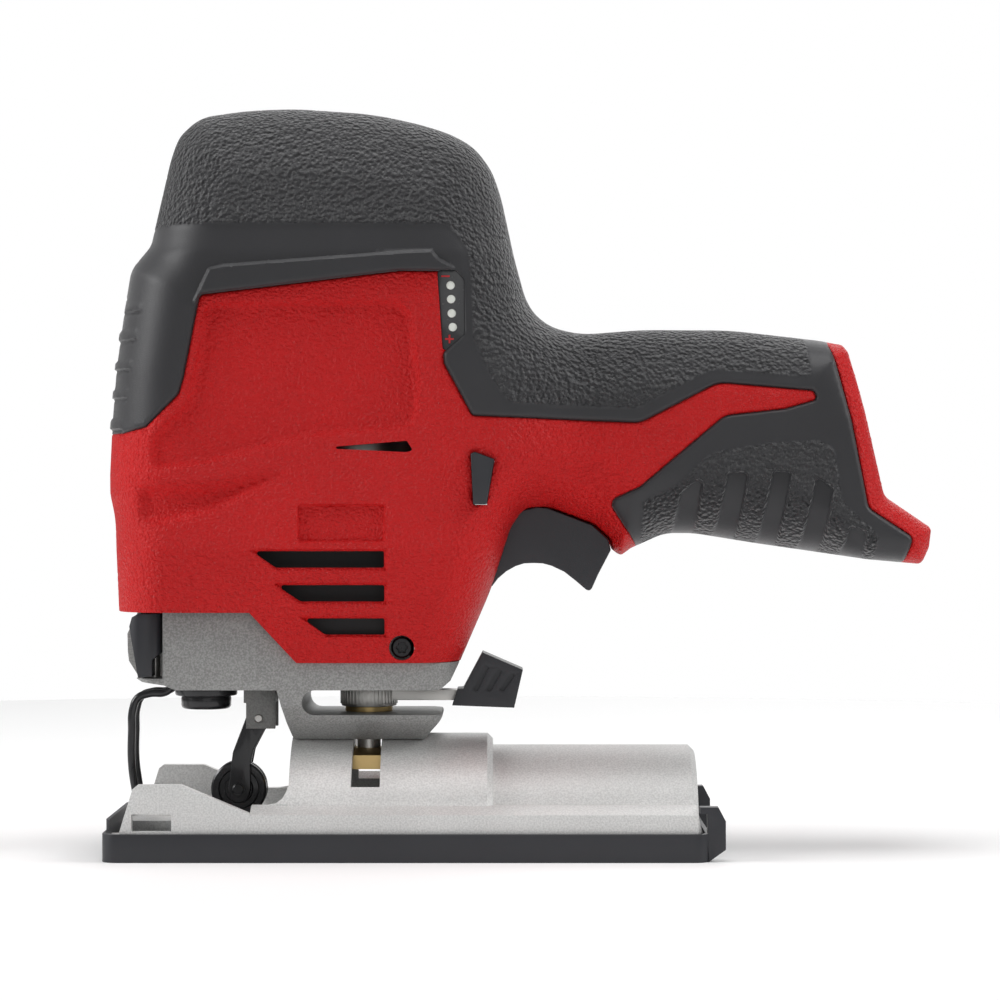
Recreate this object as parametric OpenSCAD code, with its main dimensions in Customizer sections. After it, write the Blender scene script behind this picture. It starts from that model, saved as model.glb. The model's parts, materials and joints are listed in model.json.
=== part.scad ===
// Compact cordless jigsaw, built as an assembly of separate pieces.
// +Z is up, +X runs to the handle, -X to the blade end, and -Y is the tool's left.
// The origin is the centre of the sole, on the axis about which the shoe tilts.

/* [Body] */
// Half the width of the motor housing
body_half_w = 28; // [27:0.5:36]
// Half the width of the handle
handle_half_w = 22; // [21:0.5:27]
// Hard wall of the housing
wall = 2.2; // [1.6:0.1:2.8]
// Thickness of the soft overmould
grip_t = 2; // [1:0.1:2.5]

/* [Shoe] */
// Length of the shoe plate
shoe_l = 147.6; // [140:0.2:180]
// Half the width of the shoe plate
shoe_half_w = 31.5; // [31:0.5:40]
// Thickness of the snap-on sole cover
cover_t = 2.5; // [1.5:0.1:3]
// Outer radius of the rocker that the gearcase tilts on
rocker_r = 29.4; // [29:0.1:29.8]
// Wall of the rocker and of the dust tube
rocker_wall = 3; // [2:0.1:4]
// Largest tilt to either side, in degrees
bevel_limit = 45; // [30:1:45]

/* [Drive] */
// Blade stroke
stroke = 19; // [12:0.5:19]
// Radius of the plunger rod
rod_r = 4; // [3:0.1:5]
// Outer radius of the motor can
motor_r = 16.5; // [14:0.1:16.5]
// Length of the motor can
motor_l = 48; // [38:1:56]
// Teeth on the drive gear
gear_teeth = 36; // [36:36:36]
// Teeth on the motor pinion
pinion_teeth = 8; // [8:8:8]
// Radius of the crank pin
pin_r = 2.5; // [1.5:0.1:3]

/* [Blade support] */
// Radius of the guide roller
roller_r = 7.06; // [5:0.1:7.5]
// Radius of the guard wire
wire_r = 1; // [0.7:0.05:1.2]

/* [Levers] */
// Half the width of the trigger
trigger_half_w = 9; // [6:0.5:10]
// Thickness of the shoe clamp lever's blade
lever_t = 2.6; // [1.5:0.1:3]

/* [Fits] */
// Radial clearance of a running fit
run_fit = 0.05; // [0.02:0.01:0.09]
// Gap between pieces that pass each other
gap = 0.4; // [0.3:0.05:0.6]

/* [Hidden] */
$fn = 48;
eps = 0.01;
cover_x0 = -75.4;
shoe_x0 = -74.6;
shoe_x1 = shoe_x0 + shoe_l;
plunger_x = -52.5;
motor_x = -14;
bolt_x = -11;
head_top = 190;

// Heights of the drive, from the gear's centre outwards
gear_z = 62;
crank_r = stroke / 2;
tooth_pitch = 2.094;
mesh_r = gear_teeth * tooth_pitch / (2 * PI);
pinion_pitch_r = pinion_teeth * tooth_pitch / (2 * PI);
pinion_tip_r = pinion_pitch_r + 0.68;
pinion_root_r = pinion_pitch_r - 0.72;
gear_face_x = motor_x - pinion_tip_r - 0.5;
gear_tooth_h = 1.75;
gear_t = 6;
gear_r = mesh_r + 2.2;
pinion_z0 = gear_z + 8;
pinion_z1 = gear_z + 16;
tower_top = pinion_z1 + 1;
motor_plate_t = 5;
can_z0 = tower_top + motor_plate_t;
can_z1 = can_z0 + motor_l;
can_wall = 1.5;
shaft_r = 2.45;
axle_r = 4 - run_fit;
gear_bearing_r = 7;
yoke_t = 3.5;
yoke_x1 = motor_x - motor_r - 0.5;
yoke_x0 = yoke_x1 - yoke_t;
yoke_half_l = crank_r + pin_r + 2.5;
yoke_slot_h = 2 * pin_r + 0.4;
arm_z0 = gear_z + 16;
arm_z1 = gear_z + 26;
arm_half_w = 6;

// Chamber and tower of the gearcase
chamber_half_w = 16;
tower_half_w = 18;
tower_x0 = -64;
tower_x1 = 0;
chamber_x0 = -44;
chamber_x1 = -2;
case_z = 41.4;
chamber_z = gear_z - yoke_slot_h / 2 - 3.2 - stroke / 2 - 0.6;
bush_wall = 2.5;
bush_z0 = 45.7 + stroke / 2;
bush_z1 = 64;
upper_bush_z0 = arm_z1 + stroke / 2 + 8;
upper_bush_z1 = upper_bush_z0 + 10;
rod_z0 = 36;
rod_z1 = upper_bush_z1 + stroke / 2 + 1;

// Blade clamp under the plunger
clamp_flange_r = 7.9;
clamp_collar_r = 6.35;
clamp_z0 = 35.7;
clamp_z1 = 39;
clamp_z2 = 41;

// Saddle, clamp slot and lever
saddle_gap = 0.3;
saddle_half_w = 8.5;
case_half_w = 19.5;
slot_z0 = 35.1;
slot_z1 = case_z;
slot_x0 = -27;
bolt_r = 3;
hub_r = 7;
lever_z0 = 38;
slot_half_x = bolt_r + 0.6;

// Trigger
trigger_pivot = [19.5, 78];
trigger_pin_r = 2;
trigger_pin_half_l = trigger_half_w + 6;
spring_x = 36;
spring_z0 = 82;
spring_pitch = 1.7;
spring_r = 2.6;
switch_x0 = 27.5;
switch_z0 = 91.6;

// Roller and its arm
roller_c = [-44, 15.4];
arm_pivot = [-38.7, 33.5];
roller_half_w = 3;
roller_pin_r = 1.5;
arm_pin_r = 1.1;

// Front lever that frees the blade
release_pivot = [-64.5, -11];
release_pin_r = 1.5;

// Lock button
button_half_x = 2.6;
button_travel = 3;

// Side outline of the whole body, clockwise from the front of the bottom edge
corner_side = [[-73.7, 61.1], [-74.7, 63]];
top_side = [
    [-74.6, 84], [-76, 90.3], [-76.2, 95.2], [-75.7, 106.2], [-74.5, 122.5],
    [-72.5, 137.1], [-70.9, 146.9], [-65.9, 153], [-60.8, 175.3], [-59, 179.9], [-54, 185.1], [-41, 187.2],
    [-29, 187.7], [-9, 186.2], [3.3, 183.3], [10.1, 181], [14.6, 178.5], [18.3, 175.1], [20.6, 171.2],
    [22.4, 166.2], [26, 149.8], [28.8, 139.8], [31, 136.2], [35.2, 133], [42.8, 130.7], [58.3, 131.8],
    [80.5, 131.7], [103.2, 129]];
rim_side = [[108.3, 127.8], [109.8, 126.1]];
foot_side = [
    [114.1, 111], [119.3, 89.1], [130.7, 81.7], [130, 76.9], [128.3, 72.7], [114.7, 73.9], [87, 77.9],
    [71.5, 80.5], [66, 80.6]];
guard_side = [[55.6, 76.7], [52.8, 74.7], [51.2, 76.1]];
bottom_side = [
    [46, 82.4], [34.6, 86.8], [31.9, 87.1], [28.2, 86.3], [25.1, 81.6], [20.2, 66.4], [12.4, 48.3],
    [-28, 48.3], [-39.6, 61.1]];
body_side = concat(corner_side, top_side, rim_side, foot_side, guard_side, bottom_side);
// The same outline without its short edges, from which the walls inside are set off
core_side = concat([[-74.4, 61.1]], top_side, [[109, 127.6]], foot_side, [[56, 80.6]], bottom_side);
// Ends of the widths across the body, from the bottom up: share of the half width, height
body_front = [
    [-0.74, 48], [-0.89, 61], [-1, 76], [-1, 150], [-0.93, 155], [-0.86, 175], [-0.62, 186], [-0.4, head_top],
    [0.4, head_top], [0.62, 186], [0.86, 175], [0.93, 155], [1, 150], [1, 76], [0.89, 61], [0.74, 48]];
handle_front = [
    [-0.7, 70], [-0.95, 78], [-1, 90], [-1, 115], [-0.82, 126], [-0.45, 133],
    [0.45, 133], [0.82, 126], [1, 115], [1, 90], [0.95, 78], [0.7, 70]];
// Side outlines of the two soft areas
grip_upper = [
    [-90, 105.3], [-71.2, 105.3], [-65.3, 106.6], [-56.5, 114.9], [-51.4, 139.6], [-2.3, 145.7], [13.1, 143],
    [13.4, 129.8], [8.5, 125.2], [15.3, 109.7], [57.2, 108.1], [76.6, 118], [100.4, 116], [101.1, 112.9],
    [93.3, 111.5], [78.2, 109.8], [57.2, 92.1], [49.4, 88.8], [59, 74.5], [90, 66], [122, 66], [123.2, 73.6],
    [124.6, 79.6], [113.6, 86.8], [104.6, 127.8], [108, 140], [90, 210], [-90, 210]];
gauge_side = [[6.9, 144.4], [11.2, 144.6], [12.7, 142.7], [12.9, 129.8], [8.2, 125.6]];
lock_side = [[15.2, 100.2], [16.2, 100.6], [21, 98.8], [19.1, 87.7], [15.8, 87.7]];
trigger_side = [
    [16.2, 82], [20, 83.6], [28.2, 86.3], [31.8, 87.1], [34.5, 86.8], [45.7, 82.5], [49.7, 78.9],
    [50.4, 76.2], [47.2, 70.1], [45.5, 66.3], [44.8, 65.9], [44.1, 66.2], [41.4, 68.5], [38.6, 70.7], [35.4, 72.2],
    [33.2, 72.8], [30.9, 72.9], [28.5, 72.8], [26.3, 72.1], [24, 70.8], [21.9, 69], [20.3, 66.9], [16.2, 72]];
// Plate behind the vents, clear of the bottom of the housing
shroud_side = [[-41, 78], [-5.9, 78], [-5.9, 54.8], [-27.2, 54.8], [-36.8, 65.8], [-41, 65.8]];
shroud_t = 1;
// Centres of the screws that join the housing halves
housing_screw_at = [[-67, 76], [-66, 142], [-50, 176], [14, 168], [17, 116], [47, 124], [98, 81]];
gear_screw_at = [-2, 52.1];
screw_r = 1.5;
screw_head_r = 2.7;
boss_r = 3.6;
head_seat_y = 14.2;
// Stem socket of the battery: centre of its mouth, tilt and size
socket_mouth = [118, 107];
socket_tilt = 5;
socket_l = 60;
socket_h = 34;
socket_half_w = handle_half_w - wall - grip_t - 1.2;

red = "firebrick";
soft = "dimgray";
black = "#2d2d33";
cast = "silver";
steel = "lightslategray";

function unit(v) = v / norm(v);
// Moves every side of a clockwise outline inwards by d
function inset(p, d) =
    let (n = len(p))
    [for (i = [0 : n - 1])
        let (u = unit(p[i] - p[(i + n - 1) % n]),
             v = unit(p[(i + 1) % n] - p[i]),
             nu = [u[1], -u[0]],
             nv = [v[1], -v[0]])
        p[i] + d * (nu + nv) / (1 + nu * nv)];
// Widens an outline given in shares of a half width
function widen(p, half_w) = [for (q = p) [q[0] * half_w, q[1]]];
// Outline of a rectangle whose corners are quarter circles, clockwise
function round_rect(x0, x1, y0, y1, r, n = 6) =
    [for (c = [[x0 + r, y0 + r, 270], [x0 + r, y1 - r, 180], [x1 - r, y1 - r, 90], [x1 - r, y0 + r, 0]],
          i = [0 : n])
        [c[0], c[1]] + r * [cos(c[2] - 90 * i / n), sin(c[2] - 90 * i / n)]];
function arc(r, a0, a1, n = 24) = [for (i = [0 : n]) r * [cos(a0 + (a1 - a0) * i / n), sin(a0 + (a1 - a0) * i / n)]];

// A prism from an outline in X and Z, Y and Z, or X and Y
module side(p, y0, y1) translate([0, y1, 0]) rotate([90, 0, 0]) linear_extrude(y1 - y0) polygon(p);
module front(p, x0, x1) translate([x0, 0, 0]) rotate([90, 0, 90]) linear_extrude(x1 - x0) polygon(p);
module plan(p, z0, z1) translate([0, 0, z0]) linear_extrude(z1 - z0) polygon(p);
module box(x0, x1, y0, y1, z0, z1) translate([x0, y0, z0]) cube([x1 - x0, y1 - y0, z1 - z0]);
module rod_x(x0, x1, y, z, r) translate([x0, y, z]) rotate([0, 90, 0]) cylinder(h = x1 - x0, r = r);
module rod_y(x, y0, y1, z, r) translate([x, y1, z]) rotate([90, 0, 0]) cylinder(h = y1 - y0, r = r);
module rod_z(x, y, z0, z1, r) translate([x, y, z0]) cylinder(h = z1 - z0, r = r);
module half_of(sign) intersection() {
    children();
    box(-200, 200, sign < 0 ? -100 : 0, sign < 0 ? 0 : 100, -100, 300);
}

// The body's shape, shrunk by t on every side
module body_form(t) intersection() {
    side(t > 0 ? inset(core_side, t) : body_side, -body_half_w - 1, body_half_w + 1);
    union() {
        intersection() {
            plan(round_rect(-80 + t, 36 - t, -body_half_w + t, body_half_w - t, 15 - t), 0, 200);
            front(t > 0 ? inset(widen(body_front, body_half_w), t) : widen(body_front, body_half_w), -100, 60);
        }
        front(t > 0 ? inset(widen(handle_front, handle_half_w), t) : widen(handle_front, handle_half_w), 0, 140);
    }
}
module battery_space(grow = 0) translate([socket_mouth[0], 0, socket_mouth[1]]) rotate([0, -socket_tilt, 0])
    box(-socket_l, 20, -socket_half_w - grow, socket_half_w + grow, -socket_h / 2 - grow, socket_h / 2 + grow);
module trigger_space() {
    for (a = [0, 4, 8])
        translate([trigger_pivot[0], 0, trigger_pivot[1]]) rotate([0, -a, 0])
            translate([-trigger_pivot[0], 0, -trigger_pivot[1]])
                side(inset(trigger_side, -0.6), -trigger_half_w - gap, trigger_half_w + gap);
    box(14, 27, -trigger_half_w - gap, trigger_half_w + gap, 66, 84);
    rod_y(trigger_pivot[0], -trigger_pin_half_l, trigger_pin_half_l, trigger_pivot[1], trigger_pin_r);
    rod_z(spring_x, 0, 84, switch_z0, spring_r + 1);
}
module housing(sign) difference() {
    half_of(sign) union() {
        difference() {
            body_form(0);
            side(grip_upper, -50, 50);
        }
        body_form(grip_t);
    }
    difference() {
        body_form(grip_t + wall);
        for (at = housing_screw_at) rod_y(at[0], -60, 60, at[1], boss_r);
    }
    box(tower_x0 - 5, tower_x1 + 6, -tower_half_w - gap, tower_half_w + gap, 40, 78);
    side(inset(shroud_side, -0.2), -tower_half_w - shroud_t - 0.1, tower_half_w + shroud_t + 0.1);
    battery_space();
    trigger_space();
    for (at = housing_screw_at) {
        rod_y(at[0], -12, 17, at[1], screw_r);
        if (sign > 0) rod_y(at[0], head_seat_y, 60, at[1], screw_head_r + 0.3);
    }
    side(inset(lock_side, -0.3), -60, 60);
    if (sign < 0) side(gauge_side, -60, -15);
    rod_y(gear_screw_at[0], sign < 0 ? -60 : tower_half_w, sign < 0 ? -tower_half_w : 60,
        gear_screw_at[1], screw_head_r + 0.4);
}
module housing_left() color(red) housing(-1);
module housing_right() color(red) housing(1);
module soft_grip(sign) difference() {
    half_of(sign) intersection() {
        body_form(0);
        side(grip_upper, -50, 50);
    }
    body_form(grip_t);
    battery_space();
    if (sign > 0) for (at = housing_screw_at) rod_y(at[0], head_seat_y, 60, at[1], screw_head_r + 0.3);
    side(inset(lock_side, -0.3), -60, 60);
    side(gauge_side, -60, -15);
}
module soft_grip_left() color(soft) soft_grip(-1);
module soft_grip_right() color(soft) soft_grip(1);
module housing_screws() color(black) for (at = housing_screw_at) {
    rod_y(at[0], -10, head_seat_y, at[1], screw_r);
    difference() {
        rod_y(at[0], head_seat_y, head_seat_y + 2.4, at[1], screw_head_r);
        rod_y(at[0], head_seat_y + 1.2, head_seat_y + 4, at[1], 1.2);
    }
}

// Fuel gauge
board_y = -body_half_w + wall + grip_t + 3;
module gauge_window() color("gray") side(inset(gauge_side, 0.1), -body_half_w + 0.3, -body_half_w + 1.5);
module gauge_lights() color("honeydew") for (i = [0 : 3])
    rod_y(10.3 + i * 0.17, board_y - 3, board_y, 141.7 - i * 3.43, 0.87);
module control_board() color("darkgreen") {
    box(4.5, 18, board_y, board_y + 1.6, 123, 150);
    for (z = [127, 134, 141]) box(6, 12, board_y + 1.6, board_y + 3, z, z + 4);
}

// Trigger, switch and lock
module trigger() color(black) difference() {
    side(trigger_side, -trigger_half_w, trigger_half_w);
    rod_y(trigger_pivot[0], -20, 20, trigger_pivot[1], trigger_pin_r + run_fit);
    box(31, 42, -4.5, 4.5, 81.5, 90);
}
module trigger_pin() color(steel)
    rod_y(trigger_pivot[0], -trigger_pin_half_l, trigger_pin_half_l, trigger_pivot[1], trigger_pin_r);
module trigger_spring() color(steel) for (i = [0 : 5]) translate([spring_x, 0, spring_z0 + i * spring_pitch])
    rotate_extrude() translate([spring_r, 0]) circle(r = 0.45);
module switch_module() color("black") union() {
    box(switch_x0, switch_x0 + 24.5, -9, 9, switch_z0, 108);
    box(switch_x0 + 2.5, switch_x0 + 22.5, -7, 7, 108, 114);
}
module lock_button() color(black) side(lock_side, -body_half_w - 1.2, body_half_w - button_travel - 0.6);

// Gearcase with the saddle that sits on the rocker
case_side = [
    [-71.8, 50.7], [-71.9, 55], [-69, 61], [-39.8, 61], [-28.1, 48.2], [12.1, 48.2], [12.1, 47.9], [10, 43.6],
    [7.4, case_z], [-58.4, case_z], [-61.2, 42.6], [-66.9, 43.4], [-69.5, 44.9], [-71.5, 48.1]];
slot_r = (slot_z1 - slot_z0) / 2;
block_side = concat(
    [[-42.4, case_z + 0.5], [slot_x0 + slot_r, case_z + 0.5]],
    [for (q = arc(slot_r, 90, 270, 12)) q + [slot_x0 + slot_r, slot_z0 + slot_r]],
    [[7.6, slot_z0], [7.9, 34.4], [7.3, 33.4], [5.3, 31], [3.4, 28.6], [1.6, 27.6], [0, 27],
    [-28.4, 27], [-29.9, 29.4], [-33.2, case_z]]);
saddle_front = concat(
    [[-case_half_w, 60], [case_half_w, 60], [case_half_w, 37.5], [16, 33]],
    arc(rocker_r + saddle_gap, 90 - asin(saddle_half_w / rocker_r), 90 + asin(saddle_half_w / rocker_r), 16),
    [[-16, 33], [-case_half_w, 37.5]]);
module gearcase() color(cast) difference() {
    union() {
        intersection() {
            side(case_side, -case_half_w, case_half_w);
            plan(round_rect(-71.9, 12.2, -case_half_w, case_half_w, 11), 0, 100);
        }
        intersection() {
            side(block_side, -case_half_w, case_half_w);
            plan(round_rect(-45, 8, -case_half_w, case_half_w, 8), 0, 100);
            front(saddle_front, -60, 20);
        }
        box(tower_x0, tower_x1, -tower_half_w, tower_half_w, 48, tower_top);
    }
    // Chamber of the gear and the yoke, open at the top
    box(chamber_x0, chamber_x1, -chamber_half_w, chamber_half_w, chamber_z, tower_top + 1);
    // Step down to the bush, with room for the yoke's arm above it
    box(tower_x0 + 3, chamber_x0 + 1, -chamber_half_w, chamber_half_w, bush_z1, tower_top + 1);
    rod_z(plunger_x, 0, bush_z0, bush_z1 + 1, rod_r + bush_wall);
    rod_z(plunger_x, 0, 30, bush_z0 - 2 + eps, clamp_flange_r + 0.6);
    rod_z(plunger_x, 0, 40, bush_z0 + eps, rod_r + 1);
    rod_z(bolt_x, 0, 20, slot_z0 + 1, bolt_r + run_fit);
    rod_z(bolt_x, 0, slot_z1 - 1, chamber_z - 1.2, bolt_r + run_fit);
    // Pocket of the release lever and its pin
    box(-80, -61.6, -30, -6.3, 44.3, 60.9);
    rod_z(release_pivot[0], release_pivot[1], 40, 70, release_pin_r);
    for (s = [-1, 1]) rod_y(gear_screw_at[0], s < 0 ? -30 : 13, s < 0 ? -13 : 30, gear_screw_at[1], screw_r);
    // Sockets of the guard wire
    for (s = [-1, 1]) rod_z(wire_foot[0], s * wire_half_w, 38, wire_foot[1] + 4, wire_r);
}
module gearcase_screws() color(black) for (s = [-1, 1]) {
    rod_y(gear_screw_at[0], s < 0 ? -tower_half_w : 13.5, s < 0 ? -13.5 : tower_half_w, gear_screw_at[1], screw_r);
    difference() {
        rod_y(gear_screw_at[0], s < 0 ? -tower_half_w - 2 : tower_half_w, s < 0 ? -tower_half_w : tower_half_w + 2,
            gear_screw_at[1], screw_head_r);
        rod_y(gear_screw_at[0], s < 0 ? -30 : tower_half_w + 0.8, s < 0 ? -tower_half_w - 0.8 : 30,
            gear_screw_at[1], 1.2);
    }
}
module air_shroud() color("black") for (s = [-1, 1])
    side(shroud_side, s < 0 ? -tower_half_w - shroud_t : tower_half_w, s < 0 ? -tower_half_w : tower_half_w + shroud_t);

// Motor
module motor_plate() color(steel) difference() {
    intersection() {
        box(motor_x - motor_r, 3, -tower_half_w, tower_half_w, tower_top, can_z0);
        rod_z(motor_x, 0, tower_top, can_z0, 24);
    }
    rod_z(motor_x, 0, tower_top - 1, can_z0 + 1, 5.5);
}
module motor_can() color(steel) difference() {
    rod_z(motor_x, 0, can_z0, can_z1, motor_r);
    rod_z(motor_x, 0, can_z0 - 1, can_z1 + 1, motor_r - can_wall);
}
module motor_magnets() color("black") intersection() {
    difference() {
        rod_z(motor_x, 0, can_z0 + 9, can_z1 - 4, motor_r - can_wall);
        rod_z(motor_x, 0, can_z0, can_z1, motor_r - can_wall - 2);
    }
    for (s = [-1, 1]) box(motor_x - 11, motor_x + 11, s < 0 ? -20 : 5, s < 0 ? -5 : 20, 60, 200);
}
module motor_endbell() color("black") difference() {
    rod_z(motor_x, 0, can_z1, can_z1 + 9, motor_r);
    rod_z(motor_x, 0, can_z1 - 1, can_z1 + 4, motor_r - 2);
    rod_z(motor_x, 0, can_z1, can_z1 + 10, 5.5);
}
module motor_brushes() color("peru") for (s = [-1, 1])
    box(motor_x - 2, motor_x + 2, s < 0 ? -13 : 6, s < 0 ? -6 : 13, can_z1 - 3, can_z1 + 3);
lead_x0 = motor_x + 9;
lead_x1 = 9;
lead_z0 = 110.6;
lead_z1 = can_z1 + 13;
module lead(y, r) {
    rod_z(lead_x0, y, can_z1 + 9, lead_z1, r);
    rod_x(lead_x0, lead_x1, y, lead_z1, r);
    rod_z(lead_x1, y, lead_z0, lead_z1, r);
    rod_x(lead_x1, switch_x0 + 2.5, y, lead_z0, r);
    for (p = [[lead_x0, lead_z1], [lead_x1, lead_z1], [lead_x1, lead_z0]])
        translate([p[0], y, p[1]]) sphere(r = r);
}
module motor_leads() color("darkred") for (s = [-1, 1]) lead(s * 5.6, 1.1);
module motor_shaft() color(steel) rod_z(motor_x, 0, pinion_z1, can_z1 + 8.6, shaft_r);
module motor_armature() color("darkorange") difference() {
    rod_z(motor_x, 0, can_z0 + 10, can_z1 - 5, motor_r - can_wall - 2.6);
    for (a = [0 : 60 : 300]) translate([motor_x, 0, 0]) rotate([0, 0, a])
        box(7, 30, -1, 1, can_z0, can_z1);
    rod_z(motor_x, 0, can_z0, can_z1, shaft_r);
}
module motor_commutator() color("peru") difference() {
    rod_z(motor_x, 0, can_z1 - 4.4, can_z1 + 3.6, 5.4);
    rod_z(motor_x, 0, can_z1 - 5, can_z1 + 4, shaft_r);
}
module motor_fan() color("black") difference() {
    union() {
        rod_z(motor_x, 0, can_z0 + 1.5, can_z0 + 3, motor_r - can_wall - 1);
        rod_z(motor_x, 0, can_z0 + 1.5, can_z0 + 8, 5);
        for (a = [0 : 30 : 330]) translate([motor_x, 0, 0]) rotate([0, 0, a])
            box(4.5, motor_r - can_wall - 1.5, -0.5, 0.5, can_z0 + 2.9, can_z0 + 8);
    }
    rod_z(motor_x, 0, can_z0, can_z0 + 9, shaft_r);
}
module motor_pinion() color(steel) translate([motor_x, 0, pinion_z0]) linear_extrude(pinion_z1 - pinion_z0)
    polygon([for (i = [0 : pinion_teeth - 1], q = [[-18, 0], [-5.5, 1], [5.5, 1], [18, 0]])
        let (a = 360 * i / pinion_teeth + q[0] + 180,
             r = q[1] > 0 ? pinion_tip_r : pinion_root_r)
        r * [cos(a), sin(a)]]);
module bearing_ring(x, z0, z1, r0, r1) difference() {
    rod_z(x, 0, z0, z1, r1);
    rod_z(x, 0, z0 - 1, z1 + 1, r0);
}
module motor_bearings() color(steel) {
    bearing_ring(motor_x, tower_top + 0.5, tower_top + 4.5, shaft_r + run_fit, 5.5);
    bearing_ring(motor_x, can_z1 + 4.5, can_z1 + 8.5, shaft_r + run_fit, 5.5);
}

// Drive gear, crank and yoke
module drive_gear() color(steel) translate([gear_face_x, 0, gear_z]) rotate([0, 90, 0]) {
    difference() {
        translate([0, 0, -gear_t]) cylinder(h = gear_t, r = gear_r);
        translate([0, crank_r, -gear_t - 1]) cylinder(h = 4, r = pin_r);
    }
    for (i = [0 : gear_teeth - 1]) rotate([0, 0, 360 * (i + 0.5) / gear_teeth])
        translate([mesh_r - 2, 0, 0]) rotate([90, 0, 90]) linear_extrude(4)
            polygon([[-0.42, -0.2], [0.42, -0.2], [0.14, gear_tooth_h], [-0.14, gear_tooth_h]]);
}
module gear_axle() color(steel) rod_x(gear_face_x, -3, 0, gear_z, axle_r);
module crank_pin() color(steel) rod_x(yoke_x1 + 0.3, gear_face_x - gear_t + 3, crank_r, gear_z, pin_r);
bearing_x0 = -15.5;
bearing_x1 = -5;
module gear_bearing() color(steel) difference() {
    rod_x(bearing_x0, bearing_x1, 0, gear_z, gear_bearing_r);
    rod_x(bearing_x0 - 1, bearing_x1 + 1, 0, gear_z, axle_r + run_fit);
}
module bearing_block() color(cast) difference() {
    box(bearing_x0, bearing_x1, -chamber_half_w, chamber_half_w, chamber_z, gear_z + 7.5);
    rod_x(bearing_x0 - 1, bearing_x1 + 1, 0, gear_z, gear_bearing_r);
}
module yoke() color(steel) difference() {
    union() {
        box(yoke_x0, yoke_x1, -yoke_half_l, yoke_half_l, gear_z - yoke_slot_h / 2 - 3, gear_z + yoke_slot_h / 2 + 3);
        box(yoke_x0, yoke_x1, -arm_half_w, arm_half_w, gear_z + yoke_slot_h / 2 + 2, arm_z1);
        box(plunger_x, yoke_x1, -arm_half_w + 1, arm_half_w - 1, arm_z0, arm_z1);
        rod_z(plunger_x, 0, arm_z0, arm_z1, rod_r + 3);
    }
    box(yoke_x0 - 1, yoke_x1 + 1, -crank_r - pin_r - 0.2, crank_r + pin_r + 0.2,
        gear_z - yoke_slot_h / 2, gear_z + yoke_slot_h / 2);
    rod_z(plunger_x, 0, arm_z0 - 1, arm_z1 + 1, rod_r);
}
module plunger_rod() color(steel) rod_z(plunger_x, 0, rod_z0, rod_z1, rod_r);
module lower_bush() color("goldenrod") bearing_ring(plunger_x, bush_z0, bush_z1, rod_r + run_fit, rod_r + bush_wall);
module upper_bush() color("goldenrod")
    bearing_ring(plunger_x, upper_bush_z0, upper_bush_z1, rod_r + run_fit, rod_r + bush_wall);
module felt_seal() color("black") bearing_ring(plunger_x, bush_z0 - 1.8, bush_z0, rod_r + run_fit, rod_r + 1);
module bush_bracket() color(cast) difference() {
    union() {
        box(plunger_x - 10, plunger_x + 10, -13, 13, upper_bush_z0, upper_bush_z1);
        for (s = [-1, 1])
            box(plunger_x - 8, plunger_x + 6, s < 0 ? -tower_half_w : 9, s < 0 ? -9 : tower_half_w,
                tower_top, upper_bush_z0);
    }
    for (s = [-1, 1])
        box(-70, -40, s < 0 ? -tower_half_w - 1 : 13, s < 0 ? -13 : tower_half_w + 1, tower_top + 4, upper_bush_z1);
    for (s = [-1, 1]) box(-60.2, -47, s < 0 ? -16 : 9, s < 0 ? -9 : 16, tower_top - 1, tower_top + eps);
    rod_z(plunger_x, 0, upper_bush_z0 - 1, upper_bush_z1 + 1, rod_r + bush_wall);
}

// Blade clamp and its release
module blade_clamp() color(black) difference() {
    union() {
        rod_z(plunger_x, 0, clamp_z1, clamp_z2, clamp_flange_r);
        rod_z(plunger_x, 0, clamp_z2, clamp_z2 + 2, rod_r + 2);
    }
    rod_z(plunger_x, 0, clamp_z1 - 1, clamp_z2 + 3, rod_r);
}
module clamp_collar() color(black) difference() {
    union() {
        rod_z(plunger_x, 0, clamp_z0, clamp_z1, clamp_collar_r);
        for (a = [0 : 120 : 240]) translate([plunger_x, 0, 0]) rotate([0, 0, a])
            rod_z(clamp_collar_r - 0.4, 0, clamp_z0 + 0.8, clamp_z1, 1);
    }
    rod_z(plunger_x, 0, rod_z0, clamp_z1 + 1, rod_r);
    box(plunger_x - 4.2, plunger_x + 4.2, -0.9, 0.9, clamp_z0 - 1, rod_z0 + eps);
}
lever_side = [[-69.9, 57.3], [-69.2, 59.6], [-67.6, 60.5], [-62, 60.5], [-62, 50.9], [-64.2, 49],
    [-64.2, 44.9], [-67.6, 44.7]];
module release_lever() color(black) difference() {
    intersection() {
        side(lever_side, -case_half_w - 1.2, release_pivot[1] + 3);
        plan(round_rect(-71, -61.9, -case_half_w - 1.2, release_pivot[1] + 2.6, 4), 0, 100);
    }
    rod_z(release_pivot[0], release_pivot[1], 40, 70, release_pin_r + run_fit);
}
module release_pin() color(steel) rod_z(release_pivot[0], release_pivot[1], 43.6, 62, release_pin_r);

// Guard wire, from its feet in the gearcase forwards and down to a closed end
wire_half_w = 4.5;
wire_foot = [-61, 44];
wire_path = [[-61, 40.4], [-68.6, 39.6], [-70.6, 36], [-70.8, 24], [-69.6, 16]];
wire_low = [-69.4, 12.5];
wire_side = concat([[wire_foot[0], wire_half_w, wire_foot[1] + 2.5]],
    [for (p = wire_path) [p[0], wire_half_w, p[1]]], [[wire_low[0], 2, wire_low[1]]]);
function mirrored(p) = [for (i = [len(p) - 1 : -1 : 0]) [p[i][0], -p[i][1], p[i][2]]];
wire_route = concat(wire_side, mirrored(wire_side));
module wire_guard() color(black) for (i = [0 : len(wire_route) - 2]) hull() {
    translate(wire_route[i]) sphere(r = wire_r, $fn = 12);
    translate(wire_route[i + 1]) sphere(r = wire_r, $fn = 12);
}

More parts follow.
